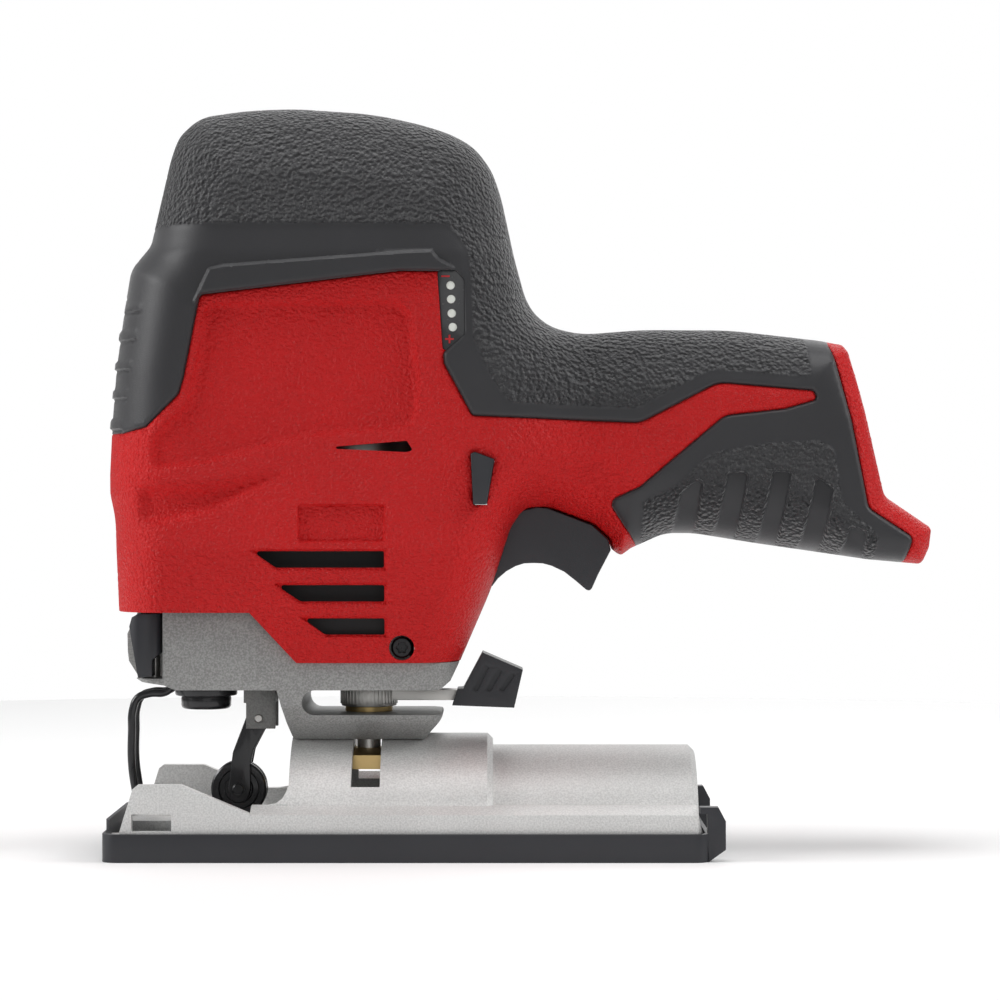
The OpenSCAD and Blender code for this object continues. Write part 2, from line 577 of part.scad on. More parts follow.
// Guide roller, its arm and bracket
bracket_half_w = 6;
module roller_bracket() color(steel) difference() {
    union() {
        box(-42.5, -34.5, -bracket_half_w, bracket_half_w, 37.4, case_z);
        for (s = [-1, 1])
            box(-41.9, -34.5, s < 0 ? -bracket_half_w : bracket_half_w - 1.5,
                s < 0 ? -bracket_half_w + 1.5 : bracket_half_w, 30.9, 37.5);
    }
    rod_y(arm_pivot[0], -10, 10, arm_pivot[1], arm_pin_r);
    rod_z(-38.7, 0, 30, 45, screw_r);
}
module bracket_screw() color(black) rod_z(-38.7, 0, 36.6, case_z, screw_r);
arm_side = [[-41, 35.6], [-36.8, 35.6], [-36.4, 32], [-40.4, 24], [-40.8, 17], [-42, 13], [-45.5, 12.8],
    [-46.4, 16.2], [-43.8, 25], [-41.2, 30.5]];
arm_y0 = roller_half_w + 0.2;
arm_y1 = roller_half_w + 1.4;
module arm_plate(y0, y1) difference() {
    side(arm_side, y0, y1);
    rod_y(roller_c[0], -10, 10, roller_c[1], roller_pin_r);
    rod_y(arm_pivot[0], -10, 10, arm_pivot[1], arm_pin_r + run_fit);
}
module roller_arm() color(black) difference() {
    union() {
        for (s = [-1, 1]) arm_plate(s < 0 ? -arm_y1 : arm_y0, s < 0 ? -arm_y0 : arm_y1);
        side([[-41, 34], [-37.6, 34], [-40.2, 29.4], [-42.2, 26.6], [-43.2, 26.9]], -arm_y0 - 0.1, arm_y0 + 0.1);
    }
    rod_y(arm_pivot[0], -10, 10, arm_pivot[1], arm_pin_r + run_fit);
    rod_z(-38.7, 0, 33, 45, screw_r + 0.6);
}
module arm_pin() color(steel) rod_y(arm_pivot[0], -bracket_half_w, bracket_half_w, arm_pivot[1], arm_pin_r);
module roller() color(black) difference() {
    rod_y(roller_c[0], -roller_half_w, roller_half_w, roller_c[1], roller_r);
    rod_y(roller_c[0], -9, 9, roller_c[1], roller_pin_r + run_fit);
    translate([roller_c[0], 0, roller_c[1]]) rotate([90, 0, 0]) rotate_extrude()
        polygon([[roller_r - 1.6, -0.8], [roller_r + 1, -1], [roller_r + 1, 1], [roller_r - 1.6, 0.8]]);
}
module roller_pin() color(steel) rod_y(roller_c[0], -5.2, 5.2, roller_c[1], roller_pin_r);

// Shoe: plate, side lobes, rocker and dust tube
opening_half_w = 14.5;
opening_x0 = -66;
rocker_x0 = -30;
rocker_x1 = 19.2;
tube_r = rocker_r - 3;
tube_x1 = shoe_x1 - 1.3;
plate_z = cover_t;
plate_t = 3;
rim_z = 11.5;
lobe_side = [[-71.2, 6.5], [-67.7, 17.9], [-66.5, 18.9], [-55.8, 18.9], [-39.2, 11.9], [-38, rim_z - 1]];
guide_z0 = 7.4;
guide_z1 = 11.7;
guide_x0 = -68;
guide_x1 = -58.2;
lobe_y = shoe_half_w - 3;
shelf_z = 13.3;
shelf_y = 26.2;
tube_end = 1.4;
module shelf(sign) difference() {
    front([for (q = [[shoe_half_w, plate_z], [22.8, plate_z], [22.8, shelf_z], [shelf_y, shelf_z], [shoe_half_w, rim_z]])
        [sign * q[0], q[1]]], -39, tube_x1 - 0.8);
    rod_x(rocker_x0 - 1, rocker_x1, 0, 0, rocker_r - rocker_wall);
}
// Flare at the front of the rocker, down to the shelf
flare_side = [
    [rocker_x0 + 1, 21], [rocker_x0, 19], [rocker_x0 - 0.4, 16.8], [rocker_x0 - 1.5, 14.9], [rocker_x0 - 3.2, 13.7],
    [rocker_x0 - 5.5, shelf_z], [rocker_x0 - 5.5, rim_z], [rocker_x0 + 1, rim_z]];
module pipe(x0, x1, r) difference() {
    union() {
        rod_x(x0, x1 - tube_end, 0, 0, r);
        translate([x1 - tube_end - eps, 0, 0]) rotate([0, 90, 0]) cylinder(h = tube_end, r1 = r, r2 = r - tube_end);
    }
    rod_x(x0 - 1, x1 + 1, 0, 0, r - rocker_wall);
    box(x0 - 1, x1 + 1, -50, 50, -50, plate_z);
}
module shoe() color(cast) difference() {
    union() {
        plan(round_rect(shoe_x0, shoe_x1, -shoe_half_w, shoe_half_w, 4), plate_z, plate_z + plate_t);
        intersection() {
            plan(round_rect(shoe_x0, shoe_x1, -shoe_half_w, shoe_half_w, 4), plate_z, 30);
            for (s = [-1, 1]) {
                y0 = s < 0 ? -shoe_half_w : lobe_y;
                y1 = s < 0 ? -lobe_y : shoe_half_w;
                side([[shoe_x0 + 2.2, plate_z], [shoe_x0 + 4.9, rim_z], [shoe_x1 - 2, rim_z], [shoe_x1, plate_z + 1.5]],
                    y0, y1);
                side(lobe_side, y0, y1);
            }
        }
        for (s = [-1, 1]) {
            shelf(s);
            // Kept within the rocker's radius, so it passes under the saddle
            intersection() {
                side(flare_side, s < 0 ? -26 : 23.6, s < 0 ? -23.6 : 26);
                rod_x(rocker_x0 - 6, rocker_x0 + 1, 0, 0, rocker_r);
            }
        }
        pipe(rocker_x0, rocker_x1 + tube_end, rocker_r);
        pipe(rocker_x1 - eps, tube_x1, tube_r);
    }
    // Clear space for the blade, and above the tunnel's floor
    plan(round_rect(opening_x0, rocker_x0 - 2, -opening_half_w, opening_half_w, 4), -1, 30);
    box(shoe_x0 - 1, opening_x0 + 5, -opening_half_w, opening_half_w, plate_z - 1, 40);
    box(rocker_x0 - 3, tube_x1 + 20, -tube_r + rocker_wall + 1.5, tube_r - rocker_wall - 1.5,
        plate_z - 1, plate_z + plate_t + 1);
    // Arc slot that the clamp bolt runs in
    intersection() {
        box(bolt_x - slot_half_x, bolt_x + slot_half_x, -50, 50, 5, 60);
        front(concat([[0, 0]], arc(60, 90 - bevel_limit - 8, 90 + bevel_limit + 8)), -60, 60);
    }
    // Passage of the edge guide
    box(guide_x0, guide_x1, -60, 60, guide_z0, guide_z1);
}
hook_x0 = shoe_x1 - 1.5;
hook_x1 = shoe_x1 + 4.8;
module shoe_cover() color(black) difference() {
    union() {
        plan(round_rect(cover_x0, shoe_x1 + 1, -shoe_half_w - 1.5, shoe_half_w + 1.5, 4), 0, 6.9);
        plan(round_rect(cover_x0, -66, -24, 24, 3), 0, 9.6);
        for (s = [-1, 1]) side([[shoe_x1 + 0.6, 0], [hook_x1, 3], [hook_x1, 10], [hook_x1 - 1.8, 13.4], [hook_x0, 13.4],
            [hook_x0, 11.8], [shoe_x1 + 0.3, 11.8]], s * (shoe_half_w - 2.5) - 2, s * (shoe_half_w - 2.5) + 2);
    }
    difference() {
        plan(round_rect(shoe_x0, shoe_x1, -shoe_half_w, shoe_half_w, 4), cover_t, 20);
        box(hook_x0, hook_x1 + 2, -60, 60, rim_z + 0.1, 30);
    }
    plan(round_rect(opening_x0 + 1, rocker_x0 - 3, -10, 10, 4), -1, 30);
}

// Clamp that holds the tilt
module clamp_bolt() color(steel) rod_z(bolt_x, 0, rocker_r - rocker_wall - 4.2, case_z + 1.5, bolt_r);
module clamp_plate() color("goldenrod") difference() {
    intersection() {
        rod_x(bolt_x - 11, bolt_x + 11, 0, 0, rocker_r - rocker_wall - 0.4);
        box(bolt_x - 12, bolt_x + 12, -9, 9, rocker_r - rocker_wall - 5.5, 60);
    }
    rod_z(bolt_x, 0, 10, 60, bolt_r);
}
module clamp_washer() color("goldenrod") bearing_ring(bolt_x, slot_z0 + 0.05, slot_z0 + 1.2, bolt_r + run_fit, hub_r - 1);
module clamp_lever() color(steel) difference() {
    union() {
        rod_z(bolt_x, 0, slot_z0 + 1.4, slot_z1 - 0.25, hub_r);
        box(bolt_x, 19, -4, 4, lever_z0, lever_z0 + lever_t);
    }
    rod_z(bolt_x, 0, 20, 60, bolt_r + run_fit);
}
knob_side = [[18, 50.2], [28.2, 45.8], [26, 36.2], [10.3, 36.8], [11.6, 40.9], [13.1, 41]];
module lever_knob() color(black) difference() {
    side(knob_side, -6, 6);
    box(bolt_x, 19, -4, 4, lever_z0, lever_z0 + lever_t);
}

// Battery contacts
module terminal_block() color("black") box(52.5, 57.3, -10, 10, 90, 112);
module battery_terminals() color("goldenrod") for (y = [-7, -2.4, 2.4, 7])
    box(57.3, 65, y - 0.5, y + 0.5, 93, 99);

housing_left();
housing_right();
soft_grip_left();
soft_grip_right();
housing_screws();
gauge_window();
gauge_lights();
control_board();
trigger();
trigger_pin();
trigger_spring();
switch_module();
lock_button();
gearcase();
gearcase_screws();
air_shroud();
motor_plate();
motor_can();
motor_magnets();
motor_endbell();
motor_brushes();
motor_leads();
motor_shaft();
motor_armature();
motor_commutator();
motor_fan();
motor_pinion();
motor_bearings();
drive_gear();
gear_axle();
crank_pin();
gear_bearing();
bearing_block();
yoke();
plunger_rod();
lower_bush();
upper_bush();
bush_bracket();
felt_seal();
blade_clamp();
clamp_collar();
release_lever();
release_pin();
wire_guard();
roller_bracket();
bracket_screw();
roller_arm();
arm_pin();
roller();
roller_pin();
shoe();
shoe_cover();
clamp_bolt();
clamp_plate();
clamp_lever();
lever_knob();
clamp_washer();
terminal_block();
battery_terminals();
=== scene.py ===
"""Compact cordless jigsaw: the visual model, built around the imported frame."""
import json
import logging
import math
from dataclasses import dataclass
from enum import Enum

import bmesh
import bpy
import numpy as np
from mathutils import Matrix, Vector
from mathutils.geometry import delaunay_2d_cdt

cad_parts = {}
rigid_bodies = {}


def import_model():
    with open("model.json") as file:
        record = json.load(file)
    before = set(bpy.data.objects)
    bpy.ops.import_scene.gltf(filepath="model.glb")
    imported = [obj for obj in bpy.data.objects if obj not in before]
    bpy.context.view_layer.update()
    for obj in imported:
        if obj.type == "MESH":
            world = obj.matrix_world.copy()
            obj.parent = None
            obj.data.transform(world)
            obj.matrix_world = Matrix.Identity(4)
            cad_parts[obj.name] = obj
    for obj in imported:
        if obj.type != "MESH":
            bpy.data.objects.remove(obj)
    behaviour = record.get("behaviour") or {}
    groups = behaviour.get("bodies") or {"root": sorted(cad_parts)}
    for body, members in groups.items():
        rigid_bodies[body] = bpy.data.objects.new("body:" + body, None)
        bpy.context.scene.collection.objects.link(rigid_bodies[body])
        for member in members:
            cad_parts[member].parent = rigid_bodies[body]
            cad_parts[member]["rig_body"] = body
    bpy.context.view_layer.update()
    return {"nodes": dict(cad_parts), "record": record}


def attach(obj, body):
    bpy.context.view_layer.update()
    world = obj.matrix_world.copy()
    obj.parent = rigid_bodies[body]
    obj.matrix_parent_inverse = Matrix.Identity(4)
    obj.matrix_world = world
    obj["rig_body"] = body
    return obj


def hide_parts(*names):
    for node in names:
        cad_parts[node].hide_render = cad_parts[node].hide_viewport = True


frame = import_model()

log = logging.getLogger("jigsaw")
MM = 0.001
Object = bpy.types.Object
Socket = bpy.types.NodeSocket
Inputs = dict[str | int, float | tuple | Socket]
Point = tuple[float, float, float]
Points = list[tuple] | tuple[tuple, ...] | np.ndarray


class Side(Enum):
    """A half of the tool: the sign of its Y."""

    LEFT = -1
    RIGHT = 1


# ---- finishes

BROAD_SCALE = 45.0
ROUGHNESS_SWING = 0.07
SHEEN_ROUGHNESS = 0.35
BRUSH_STRETCH = (1, 9, 9)
LEATHER_CELL = 0.95
LEATHER_DEPTH = 1.8


@dataclass
class Graph:
    """A node tree, with short ways to add to it."""

    tree: bpy.types.NodeTree

    def fill(self, node: bpy.types.Node, inputs: Inputs) -> bpy.types.Node:
        """Sets a node's inputs: a socket is linked, and anything else is a value.

        Args:
            node: The node.
            inputs: Values or sockets for its inputs, by name or index.

        Returns:
            The node.
        """
        for key, value in inputs.items():
            if isinstance(value, Socket):
                self.tree.links.new(value, node.inputs[key])
            else:
                node.inputs[key].default_value = value
        return node

    def add(self, kind: str, inputs: Inputs | None = None, operation: str = "") -> bpy.types.Node:
        """Adds a node.

        Args:
            kind: Type of the node.
            inputs: Values or sockets for its inputs, by name or index.
            operation: Its operation, where it has one.

        Returns:
            The new node.
        """
        node = self.tree.nodes.new(kind)
        if operation:
            node.operation = operation
        return self.fill(node, inputs or {})

    def noise(self, coords: Socket, scale: float, detail: float) -> Socket:
        """Adds a noise texture and returns its value."""
        noise = self.add("ShaderNodeTexNoise", {"Scale": scale, "Detail": detail, "Vector": coords})
        return noise.outputs["Fac"]


@dataclass(frozen=True)
class Finish:
    """A moulded, cast, painted or turned surface."""

    name: str
    color: Point
    roughness: float = 0.5
    metallic: float = 0.0
    grain_mm: float = 0.5
    grain: float = 0.15
    vary: float = 0.12
    speckle: float = 0.0
    coat: float = 0.0
    specular: float = 0.5
    sheen: float = 0.0
    depth_mm: float = 0.1
    leather: bool = False
    brushed: bool = False

    def build(self) -> bpy.types.Material:
        """Makes the node material, or returns the one already made."""
        if self.name in bpy.data.materials:
            return bpy.data.materials[self.name]
        mat = bpy.data.materials.new(self.name)
        mat.use_nodes = True
        graph = Graph(mat.node_tree)
        coords = graph.add("ShaderNodeTexCoord").outputs["Object"]
        if self.brushed:
            stretch = graph.add("ShaderNodeMapping", {"Scale": BRUSH_STRETCH, "Vector": coords})
            coords = stretch.outputs["Vector"]
        fine = graph.noise(coords, 1000.0 / self.grain_mm, 2.0)
        rough = graph.add("ShaderNodeMapRange", {"To Min": self.roughness - ROUGHNESS_SWING,
                                                 "To Max": self.roughness + ROUGHNESS_SWING, "Value": fine})
        graph.fill(mat.node_tree.nodes["Principled BSDF"], {
            "Base Color": self._tint(graph, graph.noise(coords, BROAD_SCALE, 4.0), fine),
            "Roughness": rough.outputs["Result"], "Normal": self._bump(graph, coords, fine),
            "Metallic": self.metallic, "Coat Weight": self.coat, "Specular IOR Level": self.specular,
            "Sheen Weight": self.sheen, "Sheen Roughness": SHEEN_ROUGHNESS})
        return mat

    def _tint(self, graph: Graph, broad: Socket, fine: Socket) -> Socket:
        """The colour, varied broadly, and in fine specks where the finish has them.

        Args:
            graph: The material's nodes.
            broad: Slow noise.
            fine: Fast noise.

        Returns:
            The colour's socket.
        """
        tint = graph.add("ShaderNodeValToRGB", {"Fac": broad})
        stops = ((0.3, 1 - self.vary), (0.7, 1 + self.vary))
        for stop, (position, factor) in zip(tint.color_ramp.elements, stops):
            stop.position = position
            stop.color = (*[min(c * factor, 1) for c in self.color], 1)
        if not self.speckle:
            return tint.outputs["Color"]
        specks = graph.add("ShaderNodeMapRange", {"From Min": 0.35, "From Max": 0.65, "Value": fine,
                                                  "To Min": 1 - self.speckle, "To Max": 1 + self.speckle})
        scaled = {0: tint.outputs["Color"], "Scale": specks.outputs["Result"]}
        return graph.add("ShaderNodeVectorMath", scaled, "SCALE").outputs["Vector"]

    def _bump(self, graph: Graph, coords: Socket, fine: Socket) -> Socket:
        """The fine grain, and over it the leather grain where the attribute "grain" asks for it.

        Args:
            graph: The material's nodes.
            coords: Place on the piece.
            fine: Fast noise.

        Returns:
            The normal's socket.
        """
        bump = graph.add("ShaderNodeBump", {"Strength": self.grain, "Distance": self.depth_mm * MM,
                                            "Height": fine})
        if not self.leather:
            return bump.outputs["Normal"]
        cells = graph.add("ShaderNodeTexVoronoi", {"Scale": 1000 / LEATHER_CELL, "Vector": coords})
        cells.feature = "SMOOTH_F1"
        wave = graph.noise(coords, 1000 / (LEATHER_CELL * 1.4), 3.0)
        both = graph.add("ShaderNodeMath", {0: cells.outputs["Distance"], 1: wave}, "ADD")
        mask = graph.add("ShaderNodeAttribute")
        mask.attribute_name = "grain"
        deep = {"Distance": LEATHER_DEPTH * MM, "Strength": mask.outputs["Fac"],
                "Height": both.outputs["Value"], "Normal": bump.outputs["Normal"]}
        return graph.add("ShaderNodeBump", deep).outputs["Normal"]


RED = Finish("grained_red_plastic", (0.56, 0.008, 0.009), 0.42, grain_mm=0.8, grain=1.0, vary=0.05,
             specular=0.22, depth_mm=1.0)
RUBBER = Finish("charcoal_rubber", (0.031, 0.031, 0.034), 0.48, grain_mm=0.35, grain=0.5, vary=0.06,
                specular=0.4, sheen=0.3, leather=True)
BLACK = Finish("black_nylon", (0.022, 0.023, 0.028), 0.42, grain_mm=0.3, grain=0.2, vary=0.1)
# Painted shade: a plastic darker than the parts' own, put on the air shroud and on the parts seen through the
# vents, so the vent openings read as shade.
PAINTED_VENT_SHADE = Finish("dark_shroud_plastic", (0.012, 0.012, 0.013), 0.6, grain_mm=0.4, grain=0.2)
BLACK_STEEL = Finish("blackened_steel", (0.016, 0.016, 0.018), 0.3, 0.3, 0.4, 0.1, 0.2, coat=0.3)
CAST = Finish("cast_gearcase_silver", (0.30, 0.30, 0.294), 0.5, 0.35, 0.45, 0.35, 0.06, speckle=0.22)
SHOE_SILVER = Finish("cast_shoe_silver", (0.70, 0.70, 0.69), 0.48, 0.35, 0.45, 0.3, 0.05, speckle=0.12)
CAST_DARK = Finish("cast_bracket_grey", (0.16, 0.16, 0.155), 0.45, 0.4, 0.45, 0.3, 0.06, speckle=0.15)
STEEL = Finish("brushed_steel", (0.52, 0.51, 0.49), 0.34, 0.9, 0.25, 0.15, 0.08, brushed=True)
BRASS = Finish("turned_brass", (0.62, 0.45, 0.2), 0.32, 0.95, 0.3, 0.1, 0.1)
COPPER = Finish("enamelled_copper", (0.6, 0.27, 0.13), 0.35, 0.8, 0.5, 0.3, 0.2)
FERRITE = Finish("ferrite", (0.045, 0.045, 0.05), 0.65, grain_mm=0.6)
FELT = Finish("oiled_felt", (0.1, 0.09, 0.08), 0.9, grain_mm=0.3, grain=0.6)
FILM = Finish("gauge_film", (0.028, 0.029, 0.032), 0.25, grain_mm=0.8, grain=0.03, coat=0.4)
DIFFUSER = Finish("light_diffuser", (0.36, 0.31, 0.29), 0.35, grain_mm=0.4, grain=0.05)
BOARD = Finish("solder_mask_green", (0.02, 0.16, 0.06), 0.35, grain_mm=0.8)
WIRE_RED = Finish("lead_insulation", (0.35, 0.02, 0.02), 0.45)
MARK_RED = Finish("gauge_mark_red", (0.6, 0.01, 0.015), 0.4)
SLOT_FINISH = {
    "red_plastic": RED, "overmould": RUBBER, "black_plastic": BLACK, "black_steel": BLACK_STEEL,
    "cast_alloy": CAST, "plain_steel": STEEL, "brass": BRASS, "copper": COPPER, "ferrite": FERRITE,
    "felt": FELT, "clear_window": FILM, "light_diffuser": DIFFUSER, "circuit_board": BOARD,
    "lead_insulation": WIRE_RED}
NODE_SLOT = {s["node"]: s["material_slot"] for s in frame["record"]["subparts"]}
NODE_BODY = {n: o["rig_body"] for n, o in frame["nodes"].items()}


# ---- outlines

def smooth_outline(points: Points, radius: float = 1.0, step: float = 0.8) -> np.ndarray:
    """Rounds the corners of a closed outline.

    Args:
        points: (x, z) or (x, z, corner radius) in millimetres, in order.
        radius: Corner radius where a point gives none.
        step: Longest piece of an arc.

    Returns:
        The outline with an arc at each corner.
    """
    out = []
    n = len(points)
    for i in range(n):
        a, b, c = (np.array(points[(i + k) % n][:2], float) for k in (-1, 0, 1))
        r = points[i][2] if len(points[i]) > 2 else radius
        u, v = (a - b), (c - b)
        lu, lv = np.linalg.norm(u), np.linalg.norm(v)
        u, v = u / lu, v / lv
        angle = math.acos(float(np.clip(u @ v, -1, 1)))
        if r <= 0 or angle > math.pi - 0.01:
            out.append(tuple(b))
            continue
        reach = min(r / math.tan(angle / 2), 0.499 * lu, 0.499 * lv)
        r = reach * math.tan(angle / 2)
        turn = math.pi - angle
        count = max(2, int(r * turn / step) + 1, int(turn / 0.2) + 1)
        centre = b + (u + v) / np.linalg.norm(u + v) * (r / math.sin(angle / 2))
        start = b + u * reach - centre
        sign = math.copysign(1, -u[0] * v[1] + u[1] * v[0])
        for k in range(count + 1):
            t = sign * turn * k / count
            ct, st = math.cos(t), math.sin(t)
            out.append((centre[0] + start[0] * ct - start[1] * st, centre[1] + start[0] * st + start[1] * ct))
    return np.array(out)


def dense(points: Points, step: float, closed: bool = True) -> np.ndarray:
    """Splits an outline's sides into pieces no longer than a step.

    Args:
        points: The outline.
        step: Longest piece.
        closed: Whether its last point joins its first.

    Returns:
        The points of the finer outline.
    """
    pts = np.array(points, float)
    ends = np.roll(pts, -1, 0) if closed else pts[1:]
    out = []
    for a, b in zip(pts, ends):
        n = max(1, int(math.ceil(np.linalg.norm(b - a) / step)))
        out.extend(a + (b - a) * k / n for k in range(n))
    if not closed:
        out.append(pts[-1])
    return np.array(out)


def distance(p: np.ndarray, line: np.ndarray, closed: bool = True) -> tuple[np.ndarray, np.ndarray]:
    """Distance of each point from a polyline, and where along it the nearest place is.

    Args:
        p: Points of the side view, in millimetres.
        line: Points of the polyline.
        closed: Whether its last point joins its first.

    Returns:
        The distances, and the places as a side's number and the share along it.
    """
    ends = np.roll(line, -1, 0) if closed else line[1:]
    best = np.full(len(p), 1e9)
    where = np.zeros(len(p))
    for i, (a, b) in enumerate(zip(line, ends)):
        d = b - a
        t = np.clip(((p - a) @ d) / max(d @ d, 1e-12), 0, 1)
        r = np.hypot(*(p - a - t[:, None] * d).T)
        near = r < best
        best[near] = r[near]
        where[near] = i + t[near]
    return best, where


def inside(p: np.ndarray, outline: np.ndarray) -> np.ndarray:
    """Whether each point lies in a closed outline.

    Args:
        p: Points of the side view, in millimetres.
        outline: Points of the outline.

    Returns:
        True where a point is inside.
    """
    hit = np.zeros(len(p), bool)
    for a, b in zip(outline, np.roll(outline, -1, 0)):
        if a[1] == b[1]:
            continue
        cross = (a[1] > p[:, 1]) != (b[1] > p[:, 1])
        x = (b[0] - a[0]) * (p[:, 1] - a[1]) / (b[1] - a[1]) + a[0]
        hit ^= cross & (p[:, 0] < x)
    return hit


def signed(p: np.ndarray, outline: np.ndarray) -> np.ndarray:
    """Distance from an outline, positive inside."""
    d, _ = distance(p, outline)
    return np.where(inside(p, outline), d, -d)


def ease(t: np.ndarray) -> np.ndarray:
    """Smooth step from 0 to 1."""
    t = np.clip(t, 0, 1)
    return t * t * (3 - 2 * t)


# ---- shell halves

# Side outline of the body, as (x, z, corner radius), from the front foot over the handle
TOP_LINE = [
    (-73.7, 60.9, 0), (-74.6, 84, 30), (-76, 90.3, 8), (-76.1, 95.2, 20), (-75.7, 106.2, 60),
    (-74.5, 122.5, 90), (-72.5, 137.1, 90), (-70.9, 146.9, 8), (-65.9, 153, 5), (-60.8, 175.3, 60),
    (-58.8, 180.6, 9), (-53.5, 185.6, 12), (-41, 187.4, 90), (-29, 187.8, 90), (-9, 186.4, 90),
    (3.3, 183.6, 90), (10.5, 181.2, 40), (16, 178, 14), (20.2, 172.5, 18), (22.6, 165.8, 60), (26, 150, 90),
    (28.8, 139.8, 30), (31, 136, 16), (35.2, 132.6, 16), (42.8, 130.7, 30), (58.3, 131.9, 90),
    (80.5, 131.8, 90), (103.2, 129.2, 20), (108.6, 127.9, 1.2), (110, 126.1, 1.5), (114.1, 111, 60),
    (118.9, 89.8, 4), (130.7, 81.8, 1.6), (130.1, 76.9, 2), (128.2, 72.7, 1.6), (114.7, 73.9, 40),
    (87, 77.9, 60), (71.5, 80.4, 30), (64, 80.4, 12), (55.6, 76.6, 2), (53, 74.7, 1), (51, 76.2, 1),
    (49.8, 79, 2), (46, 82.4, 4), (34.6, 86.8, 8), (28.4, 86.5, 4), (25.1, 81.6, 4), (20.2, 66.4, 90),
    (12.4, 48.3, 0)]
FOOT_LINE = [(-28.2, 48.3, 0), (-39.6, 60.9, 0)]
GRIP_LINE = [
    (-95, 105.3, 0), (-71.2, 105.3, 1), (-65, 106.8, 2), (-56.8, 114.9, 3), (-55.6, 119, 3),
    (-51.6, 139.4, 1.5), (-2.3, 145.3, 1), (11.5, 145.2, 2), (13.2, 142.5, 2), (13.4, 129.8, 1.5),
    (8.4, 125, 1.2), (8.6, 122.5, 1), (15.6, 109.6, 1.5), (57.2, 108, 6), (76.6, 118, 8), (100.2, 116, 1),
    (101.3, 113.8, 1), (93.3, 111.5, 3), (78.2, 109.8, 6), (57.2, 92.1, 5), (49.4, 88.6, 2), (57.6, 76, 0),
    (66, 62, 0), (121, 62, 0), (123.4, 73.5, 1), (125, 79.5, 2), (113.9, 86.8, 3), (109.8, 108.6, 30),
    (104.8, 127.6, 1), (108, 145, 0), (95, 215, 0), (-95, 215, 0)]
LEATHER_LINE = [
    (-90, 156, 1), (-54.7, 157.2, 2), (9.2, 157, 3), (14.4, 151, 3), (15.2, 143.5, 6), (15.8, 128.5, 5),
    (20.6, 118.4, 6), (24.7, 112.8, 4), (56.3, 111.6, 6), (74.8, 121.2, 6), (99.9, 119.3, 1.5),
    (97.6, 140, 1), (60, 215, 1), (-90, 215, 1)]
LOWER_GRIP_LINE = [
    (57.8, 88.6, 2), (66.5, 92.6, 4), (74.4, 100.6, 4), (88.5, 103, 6), (101.8, 103.6, 3),
    (105.2, 101.5, 3), (107.4, 88.6, 4), (116.4, 80, 3), (114, 66, 1), (58, 66, 1)]
EYEBROW_LINE = [
    (-53.2, 137.5, 0.5), (-49.3, 145.9, 1), (-45.6, 146.7, 4), (-1.6, 150.0, 6), (5.6, 150.3, 0.8),
    (7.2, 148.3, 1.5), (11, 146.2, 0.5), (11.5, 143, 0.5), (-2.3, 143, 1), (-50, 136, 1)]
PANEL_LINE = [
    (-50.5, 137.6, 3), (-3.2, 138.4, 3), (1, 135.2, 2), (3, 118, 20), (2.2, 106.5, 5), (-24, 104.2, 12),
    (-50, 97.5, 12), (-64, 95.8, 3), (-63.6, 104.4, 2), (-54.8, 113.2, 4), (-53.6, 120, 4)]
SCOOP_LINE = [
    (-68, 93.5, 3), (-50, 93.6, 8), (-29, 97.2, 4), (-31, 94.2, 3), (-47, 85.4, 8), (-60, 81.6, 8),
    (-68, 81.5, 3)]
PLAQUE_LINE = [(-27.3, 87.6, 0.7), (-6.1, 87.6, 0.7), (-6.1, 78.6, 0.7), (-27.3, 78.6, 0.7)]
GAUGE_LINE = [
    (6.9, 145.4, 0.8), (11.4, 145.6, 1.6), (13.6, 143.2, 1.2), (13.8, 129.6, 0.8), (8.3, 124.9, 0.8)]
LOCK_LINE = [
    (15.08, 100.35, 0.3), (16.2, 100.75, 0.3), (21.15, 98.9, 0.3), (19.2, 87.56, 0.3), (15.66, 87.56, 0.3)]
VENT_LINES = [
    [(-22.3, 101.6, 0.3), (-0.6, 103.4, 0.5), (1, 101, 0.5), (-0.8, 100.6, 0.4)],
    [(-38.8, 76.2, 0.6), (-6.2, 76.2, 0.5), (-6.2, 72.1, 0.5), (-33, 72.1, 2)],
    [(-33, 67.8, 0.6), (-6.2, 67.8, 0.5), (-6.2, 63.7, 0.5), (-27, 63.7, 2)],
    [(-26.6, 59.5, 0.6), (-6.2, 59.5, 0.5), (-6.2, 55.4, 0.5), (-21, 55.4, 2)]]
PADLOCK_AT = (16.6, 82.0)
SCREW_AT = (-2.0, 52.1)
# Bumper ribs: top, bottom and reach behind the front edge
RIB_BARS = [
    (137.8, 135.8, 6.4), (131.4, 128.6, 6.0), (123.8, 121.3, 5.6), (116.8, 114.1, 5.2), (109.4, 106.4, 4.6)]
SIDE_SCREWS = [(-67, 76), (-66, 142), (-50, 176), (14, 168), (17, 116), (47, 124), (98, 81)]


# Finger windows of the lower grip, front to back, each open at the bottom
WINDOW_LINES = [
    [(67.2, 90.2, 0.8), (70.8, 93.7, 1.0), (72.9, 93.6, 1.2), (71.2, 79.0, 0), (65.2, 79.0, 0)],
    [(79.0, 95.8, 1.2), (84.2, 95.7, 1.2), (81.3, 77.5, 0), (75.4, 77.5, 0)],
    [(90.1, 96.0, 1.2), (94.9, 95.9, 1.2), (91.6, 76.0, 0), (86.3, 76.0, 0)],
    [(101.0, 95.0, 1.0), (105.3, 91.5, 1.0), (102.4, 74.2, 0), (96.6, 74.2, 0)],
    [(109.3, 82.5, 0.8), (113.5, 80.8, 0.8), (112.7, 72.6, 0), (106.6, 72.6, 0)]]


